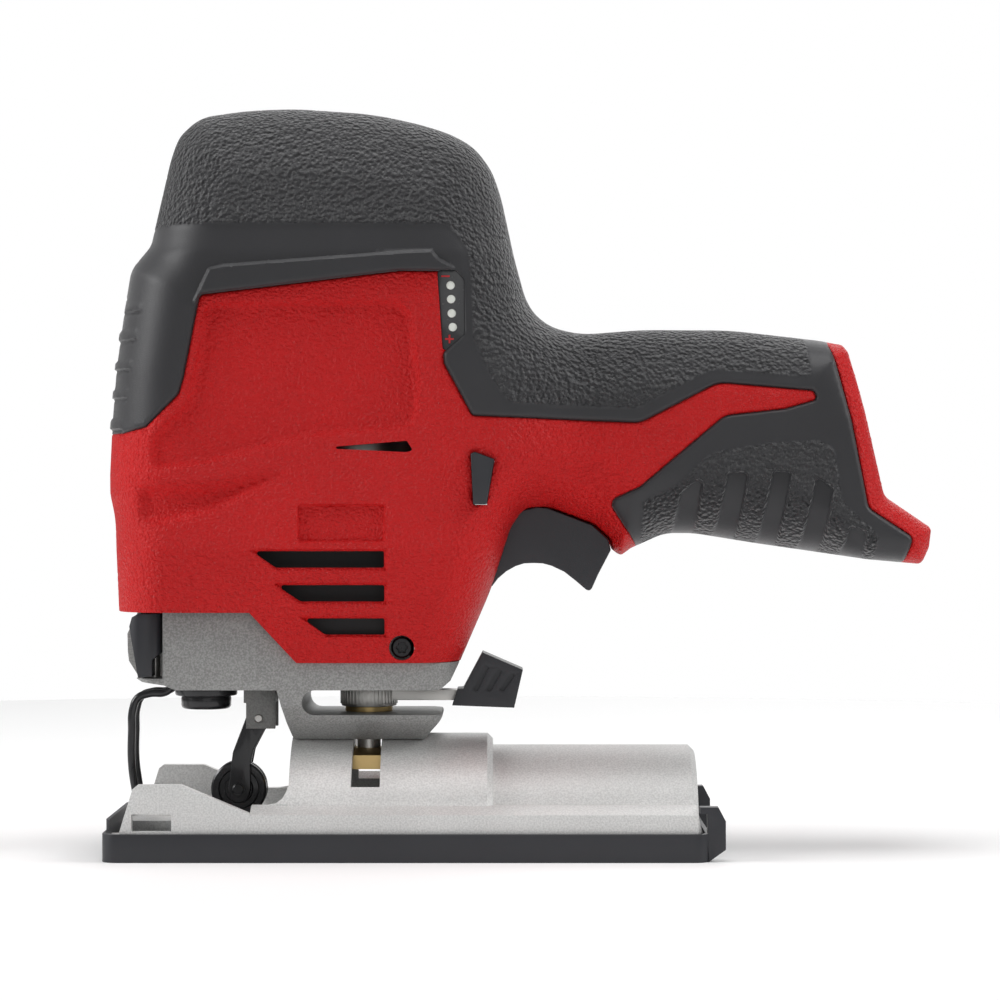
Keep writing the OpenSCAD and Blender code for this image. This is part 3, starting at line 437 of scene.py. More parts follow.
@dataclass
class ShellSide:
    """One half of the body: the hard housing and the soft grip moulded over it."""

    side: Side
    half_w: float = 28.0
    handle_w: float = 22.0
    low_w: float = 20.9
    wall: float = 2.2
    grid: float = 1.0
    seam: float = 0.8
    grip_proud: float = 0.35
    foot_z: float = 61.5
    heel_x: float = 12.5
    seam_depth: float = 0.9
    brow_proud: float = 1.3
    window_depth: float = 1.35
    panel_depth: float = 1.3
    scoop_depth: float = 2.2
    plaque_depth: float = 0.9
    vent_lip: float = 0.8

    def __post_init__(self) -> None:
        """Works out the outlines."""
        self.outline = dense(smooth_outline(TOP_LINE + FOOT_LINE), 1.1)
        foot = self._at_foot(self.outline)
        rolled = np.roll(self.outline, -int(np.argmax(~foot & np.roll(foot, 1))), 0)
        self.round_line = np.vstack([[-73.7, 40], rolled[~self._at_foot(rolled)], [10.6, 44]])
        self.grip = smooth_outline(GRIP_LINE)
        self.leather = smooth_outline(LEATHER_LINE)
        self.lower_grip = smooth_outline(LOWER_GRIP_LINE)
        self.windows = [smooth_outline(w) for w in WINDOW_LINES]
        self.eyebrow = smooth_outline(EYEBROW_LINE)
        self.panel = smooth_outline(PANEL_LINE)
        self.scoop = smooth_outline(SCOOP_LINE)
        self.plaque = smooth_outline(PLAQUE_LINE)
        self.lock = smooth_outline(LOCK_LINE)
        self.holes = [smooth_outline(v) for v in VENT_LINES] + [self.lock, self._circle(*SCREW_AT, 3.15)]
        if self.side is Side.LEFT:
            self.holes.append(smooth_outline(GAUGE_LINE))
        else:
            self.holes += [self._circle(x, z, 3.1) for x, z in SIDE_SCREWS]

    def _at_foot(self, p: np.ndarray) -> np.ndarray:
        """Whether each point is on the foot, whose edge stays sharp."""
        return (p[:, 1] < self.foot_z) & (p[:, 0] < self.heel_x)

    @staticmethod
    def _circle(x: float, z: float, r: float, n: int = 32) -> np.ndarray:
        """A circle's points."""
        a = np.arange(n) * 2 * math.pi / n
        return np.column_stack([x + r * np.cos(a), z + r * np.sin(a)])

    def width(self, p: np.ndarray) -> np.ndarray:
        """Half width of the body where its edges don't matter.

        Args:
            p: Points of the side view, in millimetres.

        Returns:
            The half width at each point.
        """
        x, z = p.T
        body = np.interp(z, [48, 61, 76, 150, 156, 176, 188],
                         [self.low_w, 25, self.half_w, self.half_w, 26.4, 24.6, 23.6])
        return body + (self.handle_w - body) * ease((x - 22) / 24)

    def edge_radius(self, p: np.ndarray) -> np.ndarray:
        """How far in from the side outline the rounding reaches.

        Args:
            p: Points of the side view, in millimetres.

        Returns:
            The reach at each point.
        """
        x, z = p.T
        body = np.interp(z, [50, 75, 105, 150, 165, 190], [11, 14, 16, 17, 19, 20])
        handle = np.interp(x, [50, 95, 104, 112], [17, 17, 12, 7])
        return body + (handle - body) * ease((x - 24) / 20)

    def base(self, p: np.ndarray, inset: float = 0.0) -> np.ndarray:
        """Height of the plain rounded form.

        Args:
            p: Points of the side view.
            inset: How far the form is set in on every side.

        Returns:
            Distance of the form from the middle plane, at each point.
        """
        d, _ = distance(p, self.round_line, closed=False)
        r = self.edge_radius(p)
        w = self.width(p)
        t = 1 - np.clip((d - inset) / np.maximum(r - inset, 1), 0, 1)
        full = w - inset
        low = np.maximum(full - (r - inset) * 1.45, 4)
        h = low + (full - low) * np.sqrt(np.maximum(1 - t * t, 0))
        if inset:
            h = np.where(d <= inset, 0.0, h)
        return h

    def height(self, p: np.ndarray, is_grip: bool) -> np.ndarray:
        """Outer height of the housing or of the grip, with its moulded detail.

        Args:
            p: Points of the side view, in millimetres.
            is_grip: Whether it is the grip.

        Returns:
            Distance of the surface from the middle plane, at each point.
        """
        h = self.base(p)
        seam_d, _ = distance(p, self.grip)
        drop = np.clip(1 - seam_d / self.seam, 0, 1)
        h = h - self.seam_depth * (1 - np.sqrt(np.maximum(1 - drop * drop, 0)))
        if is_grip:
            return self._grip_detail(p, h + self.grip_proud * ease(seam_d))
        return self._red_detail(p, h)

    def _grip_detail(self, p: np.ndarray, h: np.ndarray) -> np.ndarray:
        """Adds the eyebrow, the bumper ribs and the finger windows.

        Args:
            p: Points of the side view, in millimetres.
            h: Height of the plain form.

        Returns:
            The height with its detail.
        """
        h = h + self.brow_proud * ease(signed(p, self.eyebrow) / 0.9 + 0.3)
        h = h + 0.25 * ease(signed(p, self.leather) / 0.6 + 0.5)
        h = h + 0.3 * ease(signed(p, self.lower_grip) / 0.8 + 0.5)
        for w in self.windows:
            h = h - self.window_depth * ease(signed(p, w) / 0.8 + 0.4)
        for top, low, reach in RIB_BARS:
            here = ease(self.from_front(p, reach) / 0.8)
            h = h - here * np.exp(-((p[:, 1] - low + 0.3) / 0.4) ** 2)
            h = h + 0.35 * here * ease((top - p[:, 1]) / 0.6) * ease((p[:, 1] - low) / 0.3)
        return h

    def from_front(self, p: np.ndarray, reach: float) -> np.ndarray:
        """How far inside a strip behind the front edge each point lies."""
        edge = np.array(sorted((z, x) for x, z in self.round_line if x < -60 and 60 < z < 156))
        return reach - (p[:, 0] - np.interp(p[:, 1], edge[:, 0], edge[:, 1]))

    def push(self, p: np.ndarray) -> np.ndarray:
        """How far the rib bars stand proud of the front edge.

        Args:
            p: Points of the side view, in millimetres.

        Returns:
            The distance forwards at each point.
        """
        out = np.zeros(len(p))
        for top, low, _ in RIB_BARS[1:]:
            bar = ease((top - p[:, 1]) / 0.7) * ease((p[:, 1] - low) / 0.3)
            out += 0.5 * bar * ease(self.from_front(p, 3.0) / 2.5)
        return out

    def _red_detail(self, p: np.ndarray, h: np.ndarray) -> np.ndarray:
        """Adds the sunken panel, the scoop, the plaque, and the lips round the openings.

        Args:
            p: Points of the side view, in millimetres.
            h: Height of the plain form.

        Returns:
            The height with its detail.
        """
        h = h - self.panel_depth * ease(signed(p, self.panel) / 2.0 + 0.1)
        h = h - self.scoop_depth * ease(signed(p, self.scoop) / 4.5)
        h = h - self.plaque_depth * ease(signed(p, self.plaque) / 0.4 + 0.5)
        for (x0, z0, _), *_ in VENT_LINES[1:]:
            wedge = smooth_outline([(x0 - 1.2, z0 + 0.6, 0.4), (-5.4, z0 + 0.6, 0.5), (-5.4, z0 - 4.9, 0.5),
                                    (x0 + 6.2, z0 - 4.9, 1.5)])
            h = h - self.vent_lip * ease(signed(p, wedge) / 0.7)
        lock_d, _ = distance(p, self.lock)
        h = h - 0.4 * ease(1 - lock_d)
        u, v = p[:, 0] - PADLOCK_AT[0], p[:, 1] - PADLOCK_AT[1]
        shackle = np.where(v > 0.4, np.abs(np.hypot(u, v - 0.6) - 1.5), 9)
        case = np.abs(np.maximum(np.abs(u) - 2.0, np.abs(v + 0.9) - 1.3))
        return h - 0.25 * (ease(1 - shackle / 0.35) + ease(1 - case / 0.35))

    def clear_half(self, p: np.ndarray) -> np.ndarray:
        """Half width that must stay clear inside, for the works, the trigger and the battery.

        Args:
            p: Points of the side view, in millimetres.

        Returns:
            The half width at each point, or 0 where nothing is inside.
        """
        x, z = p.T
        works = (x > -69.5) & (x < 6.5) & (z < 78.5)
        clear = np.where(works, 18.45, 0.0)
        trigger = (x > 14) & (x < 53) & (z > 66) & (z < 91.5)
        clear = np.where(trigger, np.maximum(clear, 9.7), clear)
        tilt = math.radians(5)
        along = (x - 118) * math.cos(tilt) + (z - 107) * math.sin(tilt)
        across = (z - 107) * math.cos(tilt) - (x - 118) * math.sin(tilt)
        socket = (along > -60) & (np.abs(across) < 17)
        return np.where(socket, np.maximum(clear, 16.7), clear)

    def points(self) -> np.ndarray:
        """The free points of the mesh: a grid, and rings along every edge that needs them.

        Returns:
            The points.
        """
        x = np.arange(-77, 132, self.grid)
        z = np.arange(47, 190, self.grid)
        rows = np.array([(a + (self.grid / 2 if j % 2 else 0), b) for j, b in enumerate(z) for a in x])
        pts = [rows]
        line = dense(self.round_line, 1.6, closed=False)
        tangent = np.gradient(line, axis=0)
        tangent /= np.linalg.norm(tangent, axis=1)[:, None]
        normal = np.column_stack([tangent[:, 1], -tangent[:, 0]])
        for share in (0.012, 0.05, 0.11, 0.19, 0.29):
            d = share * self.edge_radius(line)
            ring = line + normal * d[:, None]
            real, _ = distance(ring, self.round_line, closed=False)
            pts.append(ring[real > d * 0.93])
        for t in (self.wall, self.wall + 0.12):
            ring = line + normal * t
            real, _ = distance(ring, self.round_line, closed=False)
            pts.append(ring[real > t * 0.97])
        for outline, offsets in self._edges():
            pts += [self._ring(outline, o) for o in offsets]
        for top, low, _ in RIB_BARS:
            for z0 in (top + 0.1, top - 0.6, low + 0.3, low, low - 0.3, low - 0.7, low - 1.1):
                pts.append(np.array([(a, z0) for a in np.arange(-76, -63, 0.6)]))
        return np.vstack(pts)

    def _edges(self) -> list[tuple[np.ndarray, tuple[float, ...]]]:
        """The outlines that shape the surface, with the offsets where points are wanted.

        Returns:
            Pairs of an outline and its offsets, positive inside.
        """
        out = [(self.grip, (-1.0, -0.55, -0.25, 0.25, 0.55, 1.0)), (self.eyebrow, (-0.27, 0.05, 0.35, 0.63)),
               (self.leather, (-0.3, 0.3)), (self.lower_grip, (-0.4, 0.4)),
               (self.panel, (-0.2, 0.5, 1.1, 1.8)), (self.plaque, (-0.22, 0.0, 0.22))]
        out += [(w, (-0.32, 0.0, 0.48)) for w in self.windows]
        out += [(v, (-1.3, -0.6)) for v in self.holes]
        return out

    @staticmethod
    def _ring(outline: np.ndarray, offset: float) -> np.ndarray:
        """Points at a signed distance inside an outline.

        Args:
            outline: The outline.
            offset: Distance inside it.

        Returns:
            The points, less those that come nearer to another side.
        """
        line = dense(outline, 0.7)
        tangent = np.roll(line, -1, 0) - np.roll(line, 1, 0)
        tangent /= np.maximum(np.linalg.norm(tangent, axis=1), 1e-9)[:, None]
        area = 0.5 * np.sum(line[:, 0] * np.roll(line[:, 1], -1) - np.roll(line[:, 0], -1) * line[:, 1])
        normal = np.column_stack([-tangent[:, 1], tangent[:, 0]]) * math.copysign(1, area)
        ring = line + normal * offset
        real = signed(ring, outline)
        return ring[np.abs(real - offset) < 0.1 + 0.05 * abs(offset)]

    def triangulate(self) -> tuple[np.ndarray, np.ndarray]:
        """Meshes the side view once, with the silhouette, the seam and the holes as edges.

        Returns:
            The points and the triangles between them.
        """
        loops = [self.outline, dense(self.grip, 0.9)] + [dense(h, 0.7) for h in self.holes]
        fixed = np.vstack(loops)
        edges = []
        start = 0
        for loop in loops:
            n = len(loop)
            edges += [(start + i, start + (i + 1) % n) for i in range(n)]
            start += n
        free = self.points()
        free = free[inside(free, self.outline)]
        near, _ = distance(free, self.outline)
        free = free[near > 0.12]
        for loop in loops[1:]:
            d, _ = distance(free, loop)
            free = free[d > 0.14]
        cells = np.round(free / 0.22).astype(int)
        _, first = np.unique(cells, axis=0, return_index=True)
        free = free[np.sort(first)]
        verts = [Vector((float(a), float(b))) for a, b in np.vstack([fixed, free])]
        out = delaunay_2d_cdt(verts, edges, [], 0, 1e-5)
        p = np.array([(v.x, v.y) for v in out[0]])
        tris = np.array([f for f in out[2] if len(f) == 3])
        centre = p[tris].mean(1)
        keep = inside(centre, self.outline)
        for hole in self.holes:
            keep &= ~inside(centre, hole)
        return p, tris[keep]

    def build(self) -> list[Object]:
        """Makes the housing half and the grip half.

        Returns:
            The two pieces.
        """
        p, tris = self.triangulate()
        in_grip = inside(p[tris].mean(1), self.grip)
        out = []
        for is_grip, name, finish in ((False, "housing", RED), (True, "soft_grip", RUBBER)):
            node = f"{name}_{self.side.name.lower()}"
            obj = self._solid(p, tris[in_grip == is_grip], is_grip, f"{node}_shell")
            out.append(dress(obj, finish, "root", node))
        return out

    def _solid(self, p: np.ndarray, tris: np.ndarray, is_grip: bool, name: str) -> Object:
        """Closes a patch of the side into a wall with an outer face, an inner face and edges.

        Args:
            p: Points of the side view, in millimetres.
            tris: Triangles of the patch.
            is_grip: Whether it is the grip.
            name: Name of the piece.

        Returns:
            The wall as a closed mesh.
        """
        used, flat = np.unique(tris, return_inverse=True)
        tris = flat.reshape(-1, 3)
        q = p[used]
        outer = self.height(q, is_grip)
        inner = np.maximum(self.base(q, self.wall), self.clear_half(q))
        inner = np.minimum(inner, outer - 0.3)
        s = self.side.value
        n = len(q)
        x_out = q[:, 0] - (self.push(q) if is_grip else 0)
        co = np.vstack([np.column_stack([x_out, s * outer, q[:, 1]]),
                        np.column_stack([q[:, 0], s * inner, q[:, 1]])])
        rim: dict[tuple[int, int], tuple[int, int]] = {}
        for a, b, c in tris:
            for i, j in ((a, b), (b, c), (c, a)):
                key = (min(i, j), max(i, j))
                if rim.pop(key, None) is None:
                    rim[key] = (i, j)
        faces = [tuple(t) for t in tris] + [tuple(t[::-1] + n) for t in tris]
        faces += [(j, i, i + n, j + n) for i, j in rim.values()]
        mesh = bpy.data.meshes.new(name)
        mesh.from_pydata((co * MM).tolist(), [], [tuple(int(k) for k in f) for f in faces])
        obj = link(bpy.data.objects.new(name, mesh))
        fix_normals(mesh)
        shade(mesh, 42)
        if is_grip:
            mask = ease(signed(q, self.leather) / 0.8 + 0.5)
            low = ease(signed(q, self.lower_grip) / 0.8 + 0.5)
            for w in self.windows:
                low = low * (1 - ease(signed(q, w) / 0.6 + 0.5))
            attr = mesh.attributes.new("grain", "FLOAT", "POINT")
            attr.data.foreach_set("value", np.tile(np.maximum(mask, low), 2).astype(np.float32))
        return obj


# ---- mesh helpers

def link(obj: Object) -> Object:
    """Puts an object in the scene."""
    bpy.context.scene.collection.objects.link(obj)
    return obj


def fix_normals(mesh: bpy.types.Mesh, weld: float = 0.0) -> None:
    """Merges doubles when asked, and turns every face outwards.

    Args:
        mesh: The mesh, which is changed.
        weld: Distance in metres within which points merge, or 0.
    """
    bm = bmesh.new()
    bm.from_mesh(mesh)
    if weld:
        bmesh.ops.remove_doubles(bm, verts=bm.verts, dist=weld)
    bmesh.ops.recalc_face_normals(bm, faces=bm.faces)
    bm.to_mesh(mesh)
    bm.free()


def shade(mesh: bpy.types.Mesh, degrees: float = 35.0) -> None:
    """Smooth shading with sharp edges above an angle."""
    mesh.polygons.foreach_set("use_smooth", [True] * len(mesh.polygons))
    mesh.set_sharp_from_angle(angle=math.radians(degrees))


def dress(obj: Object, finish: Finish, body: str, node: str = "") -> Object:
    """Gives a piece what it needs in the scene.

    Args:
        obj: The piece.
        finish: Its finish.
        body: The body that it rides on.
        node: The CAD node that it stands for, if any.

    Returns:
        The piece.
    """
    obj.data.materials.clear()
    obj.data.materials.append(finish.build())
    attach(obj, body)
    if node:
        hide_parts(node)
    return obj


def from_modifiers(obj: Object) -> Object:
    """Turns a piece and its modifiers into a plain mesh.

    Args:
        obj: The piece.

    Returns:
        The piece.
    """
    graph = bpy.context.evaluated_depsgraph_get()
    mesh = bpy.data.meshes.new_from_object(obj.evaluated_get(graph))
    obj.modifiers.clear()
    obj.data = mesh
    return obj


def round_edges(obj: Object, width: float, segments: int = 3, angle: float = 40.0) -> None:
    """Rounds a piece's sharp edges.

    Args:
        obj: The piece.
        width: Width of the rounding in millimetres.
        segments: Steps of the rounding.
        angle: Smallest edge angle in degrees that is rounded.
    """
    mod = obj.modifiers.new("edges", "BEVEL")
    mod.width = width * MM
    mod.segments = segments
    mod.limit_method = "ANGLE"
    mod.angle_limit = math.radians(angle)
    from_modifiers(obj)


def refined(node: str, finish: Finish, bevel: float, segments: int = 3, angle: float = 28.0) -> Object:
    """A copy of a CAD node with its edges broken, which stands for the node.

    Args:
        node: Name of the CAD node.
        finish: Finish of the piece.
        bevel: Width of the edge rounding in millimetres.
        segments: Steps of the rounding.
        angle: Smallest edge angle in degrees that is rounded.

    Returns:
        The new piece, which rides on the node's body.
    """
    source = frame["nodes"][node]
    obj = link(bpy.data.objects.new(f"{node}_piece", source.data.copy()))
    bm = bmesh.new()
    bm.from_mesh(obj.data)
    bmesh.ops.remove_doubles(bm, verts=bm.verts, dist=2e-6)
    bmesh.ops.dissolve_limit(bm, angle_limit=math.radians(0.6), verts=bm.verts, edges=bm.edges)
    bm.to_mesh(obj.data)
    bm.free()
    round_edges(obj, bevel, segments, angle)
    shade(obj.data, 38)
    return dress(obj, finish, NODE_BODY[node], node)


def lathe(name: str, profile: Points, origin: Point, axis: Point,
          steps: int = 64, ring: bool = False) -> Object:
    """Turns a profile about an axis, all in millimetres.

    Args:
        name: Name of the piece.
        profile: (radius, height) points, from the axis to the axis, or round a ring's section.
        origin: Point that the axis passes, at height 0.
        axis: Direction of the axis.
        steps: Sides of the turned circle.
        ring: Whether the profile closes on itself.

    Returns:
        The piece as a closed mesh.
    """
    n = len(profile)
    co, faces = [], []
    turn = Vector((0, 0, 1)).rotation_difference(Vector(axis)).to_matrix()
    for i in range(steps):
        a = 2 * math.pi * i / steps
        co += [turn @ Vector((r * math.cos(a), r * math.sin(a), h)) + Vector(origin) for r, h in profile]
        j = (i + 1) % steps
        for k in range(n if ring else n - 1):
            m = (k + 1) % n
            faces.append((i * n + k, j * n + k, j * n + m, i * n + m))
    mesh = bpy.data.meshes.new(name)
    mesh.from_pydata([tuple(c * MM) for c in co], [], faces)
    obj = link(bpy.data.objects.new(name, mesh))
    fix_normals(mesh, weld=1e-7)
    shade(mesh, 35)
    return obj


def tube(name: str, path: list[Point], radius: float) -> Object:
    """A smooth round bar along a path in millimetres, with closed ends.

    Args:
        name: Name of the piece.
        path: Points that it passes.
        radius: Radius of the bar.

    Returns:
        The bar as a closed mesh.
    """
    curve = bpy.data.curves.new(name, "CURVE")
    curve.dimensions = "3D"
    curve.bevel_depth = radius * MM
    curve.bevel_resolution = 6
    curve.resolution_u = 10
    curve.use_fill_caps = True
    line = curve.splines.new("BEZIER")
    line.bezier_points.add(len(path) - 1)
    for point, at in zip(line.bezier_points, path):
        point.co = Vector(at) * MM
        point.handle_left_type = point.handle_right_type = "AUTO"
    obj = link(bpy.data.objects.new(name, curve))
    graph = bpy.context.evaluated_depsgraph_get()
    mesh = bpy.data.meshes.new_from_object(obj.evaluated_get(graph))
    bpy.data.objects.remove(obj)
    fix_normals(mesh, weld=1e-7)
    shade(mesh, 50)
    return link(bpy.data.objects.new(name, mesh))


def prism(name: str, outline: Points, y0: float, y1: float, bevel: float = 0.3) -> Object:
    """An outline in X and Z, extruded along Y, with rounded edges; all in millimetres.

    Args:
        name: Name of the piece.
        outline: The (x, z) outline.
        y0: Lower end.
        y1: Upper end.
        bevel: Width of the edge rounding, or 0.

    Returns:
        The piece as a closed mesh.
    """
    bm = bmesh.new()
    rows = [[bm.verts.new((x * MM, y * MM, z * MM)) for x, z in outline] for y in (y0, y1)]
    bm.faces.new(rows[0])
    bm.faces.new(rows[1][::-1])
    n = len(outline)
    for i in range(n):
        bm.faces.new((rows[0][i], rows[1][i], rows[1][(i + 1) % n], rows[0][(i + 1) % n]))
    bmesh.ops.recalc_face_normals(bm, faces=bm.faces)
    mesh = bpy.data.meshes.new(name)
    bm.to_mesh(mesh)
    bm.free()
    obj = link(bpy.data.objects.new(name, mesh))
    if bevel:
        round_edges(obj, bevel)
    shade(obj.data, 35)
    return obj


# ---- fittings

def carve(obj: Object, cutter: Object) -> Object:
    """Cuts one piece's shape out of another and removes the cutter.

    Args:
        obj: The piece that is cut.
        cutter: The shape that is cut out.

    Returns:
        The cut piece.
    """
    mod = obj.modifiers.new("cut", "BOOLEAN")
    mod.operation = "DIFFERENCE"
    mod.solver = "EXACT"
    mod.object = cutter
    from_modifiers(obj)
    bpy.data.objects.remove(cutter)
    return obj


def join(pieces: list[Object], name: str) -> Object:
    """Puts several meshes in one object.

    Args:
        pieces: The objects, which are removed.
        name: Name of the result.

    Returns:
        The new object.
    """
    bm = bmesh.new()
    for piece in pieces:
        bm.from_mesh(piece.data)
        bpy.data.objects.remove(piece)
    mesh = bpy.data.meshes.new(name)
    bm.to_mesh(mesh)
    bm.free()
    shade(mesh, 35)
    return link(bpy.data.objects.new(name, mesh))


def star_head(name: str, at: Point, sign: int, radius: float, height: float,
              drive: float = 1.25) -> Object:
    """A pan screw head with a six-lobed recess, its face towards sign times Y.

    Args:
        name: Name of the piece.
        at: Centre of the seat in millimetres.
        sign: -1 or 1.
        radius: Radius of the head.
        height: Height above the seat.
        drive: Radius of the recess.

    Returns:
        The head as a closed mesh.
    """
    n = 60
    turn = np.arange(n) * 2 * math.pi / n
    lobes = drive * (1 + 0.14 * np.cos(6 * turn))
    plain = np.ones(n)
    rings = [(plain * radius, 0), (plain * radius, height * 0.55), (plain * (radius - 0.15), height * 0.8),
             (plain * (radius - 0.5), height), (lobes * 1.12, height), (lobes, height - 0.12),
             (lobes * 0.95, height * 0.35)]
    co, faces = [], []
    for r, h in rings:
        co += [((at[0] + a * math.cos(t)) * MM, (at[1] + sign * h) * MM, (at[2] + a * math.sin(t)) * MM)
               for a, t in zip(r, turn)]
    for k in range(len(rings) - 1):
        near, far = k * n, (k + 1) * n
        faces += [(near + i, near + (i + 1) % n, far + (i + 1) % n, far + i) for i in range(n)]
    faces += [tuple(range(n))[::-1], tuple(range((len(rings) - 1) * n, len(rings) * n))]
    mesh = bpy.data.meshes.new(name)
    mesh.from_pydata(co, [], faces)
    obj = link(bpy.data.objects.new(name, mesh))
    fix_normals(mesh)
    shade(mesh, 35)
    return obj


class RingRepeat:
    """A Geometry Nodes tree that repeats one small mesh in a ring."""

    def __init__(self) -> None:
        """Makes the tree with its named inputs."""
        tree = bpy.data.node_groups.new("ring_repeat", "GeometryNodeTree")
        face = tree.interface
        for label, kind in (("Piece", "NodeSocketObject"), ("Count", "NodeSocketInt"),
                            ("Radius", "NodeSocketFloat"), ("Seed", "NodeSocketInt"),
                            ("Material", "NodeSocketMaterial")):
            face.new_socket(label, in_out="INPUT", socket_type=kind)
        face.new_socket("Geometry", in_out="OUTPUT", socket_type="NodeSocketGeometry")
        graph = Graph(tree)
        given = graph.add("NodeGroupInput").outputs
        circle = graph.add("GeometryNodeMeshCircle", {"Vertices": given["Count"], "Radius": given["Radius"]})
        info = graph.add("GeometryNodeObjectInfo", {"Object": given["Piece"]})
        index = graph.add("GeometryNodeInputIndex")
        step = graph.add("ShaderNodeMath", {0: 2 * math.pi, 1: given["Count"]}, "DIVIDE")
        angle = graph.add("ShaderNodeMath", {0: index.outputs["Index"], 1: step.outputs["Value"]}, "MULTIPLY")
        turn = graph.add("ShaderNodeCombineXYZ", {"Z": angle.outputs["Value"]})
        place = graph.add("GeometryNodeInstanceOnPoints", {
            "Points": circle.outputs["Mesh"], "Instance": info.outputs["Geometry"],
            "Rotation": turn.outputs["Vector"]})
        real = graph.add("GeometryNodeRealizeInstances", {"Geometry": place.outputs["Instances"]})
        paint = graph.add("GeometryNodeSetMaterial", {"Geometry": real.outputs["Geometry"],
                                                      "Material": given["Material"]})
        graph.add("NodeGroupOutput", {"Geometry": paint.outputs["Geometry"]})
        self.tree = tree

    def make(self, name: str, piece: Object, count: int, radius: float,
             centre: Point, finish: Finish) -> Object:
        """Repeats a piece about Z.

        Args:
            name: Name of the result.
            piece: The piece at angle 0, which is removed afterwards.
            count: How many there are.
            radius: Radius of the ring in millimetres.
            centre: Centre of the ring in millimetres.
            finish: Finish of the ring.

        Returns:
            The ring as one plain mesh.
        """
        obj = link(bpy.data.objects.new(name, bpy.data.meshes.new(name)))
        mod = obj.modifiers.new("ring", "NODES")
        mod.node_group = self.tree
        values = {"Piece": piece, "Count": count, "Radius": radius * MM, "Seed": 1,
                  "Material": finish.build()}
        for item in self.tree.interface.items_tree:
            if item.in_out == "INPUT":
                mod[item.identifier] = values[item.name]
        from_modifiers(obj)
        bpy.data.objects.remove(piece)
        obj.data.transform(Matrix.Translation(Vector(centre) * MM))
        fix_normals(obj.data)
        shade(obj.data, 35)
        return obj


def block(name: str, lo: Point, hi: Point,
          bevel: float) -> Object:
    """A small bar between two corners, its edges rounded."""
    outline = [(lo[0], lo[2]), (hi[0], lo[2]), (hi[0], hi[2]), (lo[0], hi[2])]
    return prism(name, outline, lo[1], hi[1], bevel)


@dataclass
class Gauge:
    """Charge gauge beside the head, with its four lights and a minus and a plus."""

    face_y: float = -27.25
    lights: tuple[tuple[float, float], ...] = ((10.2, 141.7), (10.35, 138.3), (10.5, 134.8), (10.75, 131.4))

    def build(self) -> list[Object]:
        """Makes the film, the lights and the marks.

        Returns:
            The three pieces.
        """
        film = prism("gauge_film_piece", smooth_outline(GAUGE_LINE), self.face_y, -25.2, 0.1)
        dress(film, FILM, "root", "gauge_window")
        dots = [lathe("dot", [(0, 0.28), (0.6, 0.26), (0.95, 0.15), (1.05, 0), (1.05, -0.6), (0, -0.6)],
                      (x, self.face_y, z), (0, -1, 0), 32) for x, z in self.lights]
        lamps = dress(join(dots, "gauge_lamps"), DIFFUSER, "root", "gauge_lights")
        marks = [block("mark", (7.9, self.face_y - 0.1, 143.75), (10.0, self.face_y + 0.2, 144.15), 0.02),
                 block("mark", (8.9, self.face_y - 0.1, 128.25), (11.0, self.face_y + 0.2, 128.7), 0.02),
                 block("mark", (9.72, self.face_y - 0.12, 127.4), (10.17, self.face_y + 0.2, 129.5), 0.02)]
        return [film, lamps, dress(join(marks, "gauge_marks"), MARK_RED, "root")]


@dataclass
class Controls:
    """Trigger, lock button and the lever that frees the blade."""

    trigger_edge: float = 1.5
    button_edge: float = 0.3
    lever_edge: float = 0.8

    def build(self) -> list[Object]:
        """Makes the three pieces."""
        return [refined("trigger", BLACK, self.trigger_edge, 5),
                refined("lock_button", BLACK, self.button_edge),
                refined("release_lever", BLACK, self.lever_edge, 4)]


@dataclass
class Gearcase:
    """Cast gearcase with its screws and the guard wire."""

    seat: float = 18.0

    def build(self) -> list[Object]:
        """Makes the gearcase's visible pieces.

        Returns:
            The gearcase, its screws and the wire.
        """
        case = refined("gearcase", CAST, 0.55, 4, 25)
        heads = []
        for sign in (-1, 1):
            at = (SCREW_AT[0], sign * self.seat, SCREW_AT[1])
            heads.append(star_head("head", at, sign, 2.7, 2.0))
            heads.append(lathe("shank", [(0, 0), (1.5, 0), (1.5, 4.5), (0, 4.5)], at, (0, -sign, 0), 24))
        screws = join(heads, "gearcase_screw_pieces")
        dress(screws, BLACK_STEEL, "root", "gearcase_screws")
        return [case, screws, self._wire()]

    @staticmethod
    def _wire() -> Object:
        """Bends the guard wire.

        Returns:
            The wire.
        """
        half = [(-61, 46.4), (-61, 41.6), (-62.2, 40.2), (-66.6, 39.7), (-69.4, 38.6), (-70.7, 35.8),
                (-71, 30), (-71, 22), (-70.2, 16)]
        bow = [(-69.6, 3.6, 12.9), (-69.4, 1.6, 12.5), (-69.4, -1.6, 12.5), (-69.6, -3.6, 12.9)]
        path = [(x, 4.5, z) for x, z in half] + bow + [(x, -4.5, z) for x, z in reversed(half)]
        return dress(tube("guard_wire", path, 1.0), BLACK_STEEL, "root", "wire_guard")


@dataclass
class HousingScrews:
    """Screws that join the halves, driven from the right."""

    seat: float = 14.2

    def build(self) -> list[Object]:
        """Makes the heads and shanks.

        Returns:
            The screws as one piece.
        """
        pieces = []
        for x, z in SIDE_SCREWS:
            pieces.append(star_head("head", (x, self.seat, z), 1, 2.7, 2.4, 1.3))
            pieces.append(lathe("shank", [(0, -24), (1.1, -24), (1.5, -23), (1.5, 0), (0, 0)],
                                (x, self.seat, z), (0, 1, 0), 20))
        screws = join(pieces, "housing_screw_pieces")
        return [dress(screws, BLACK_STEEL, "root", "housing_screws")]


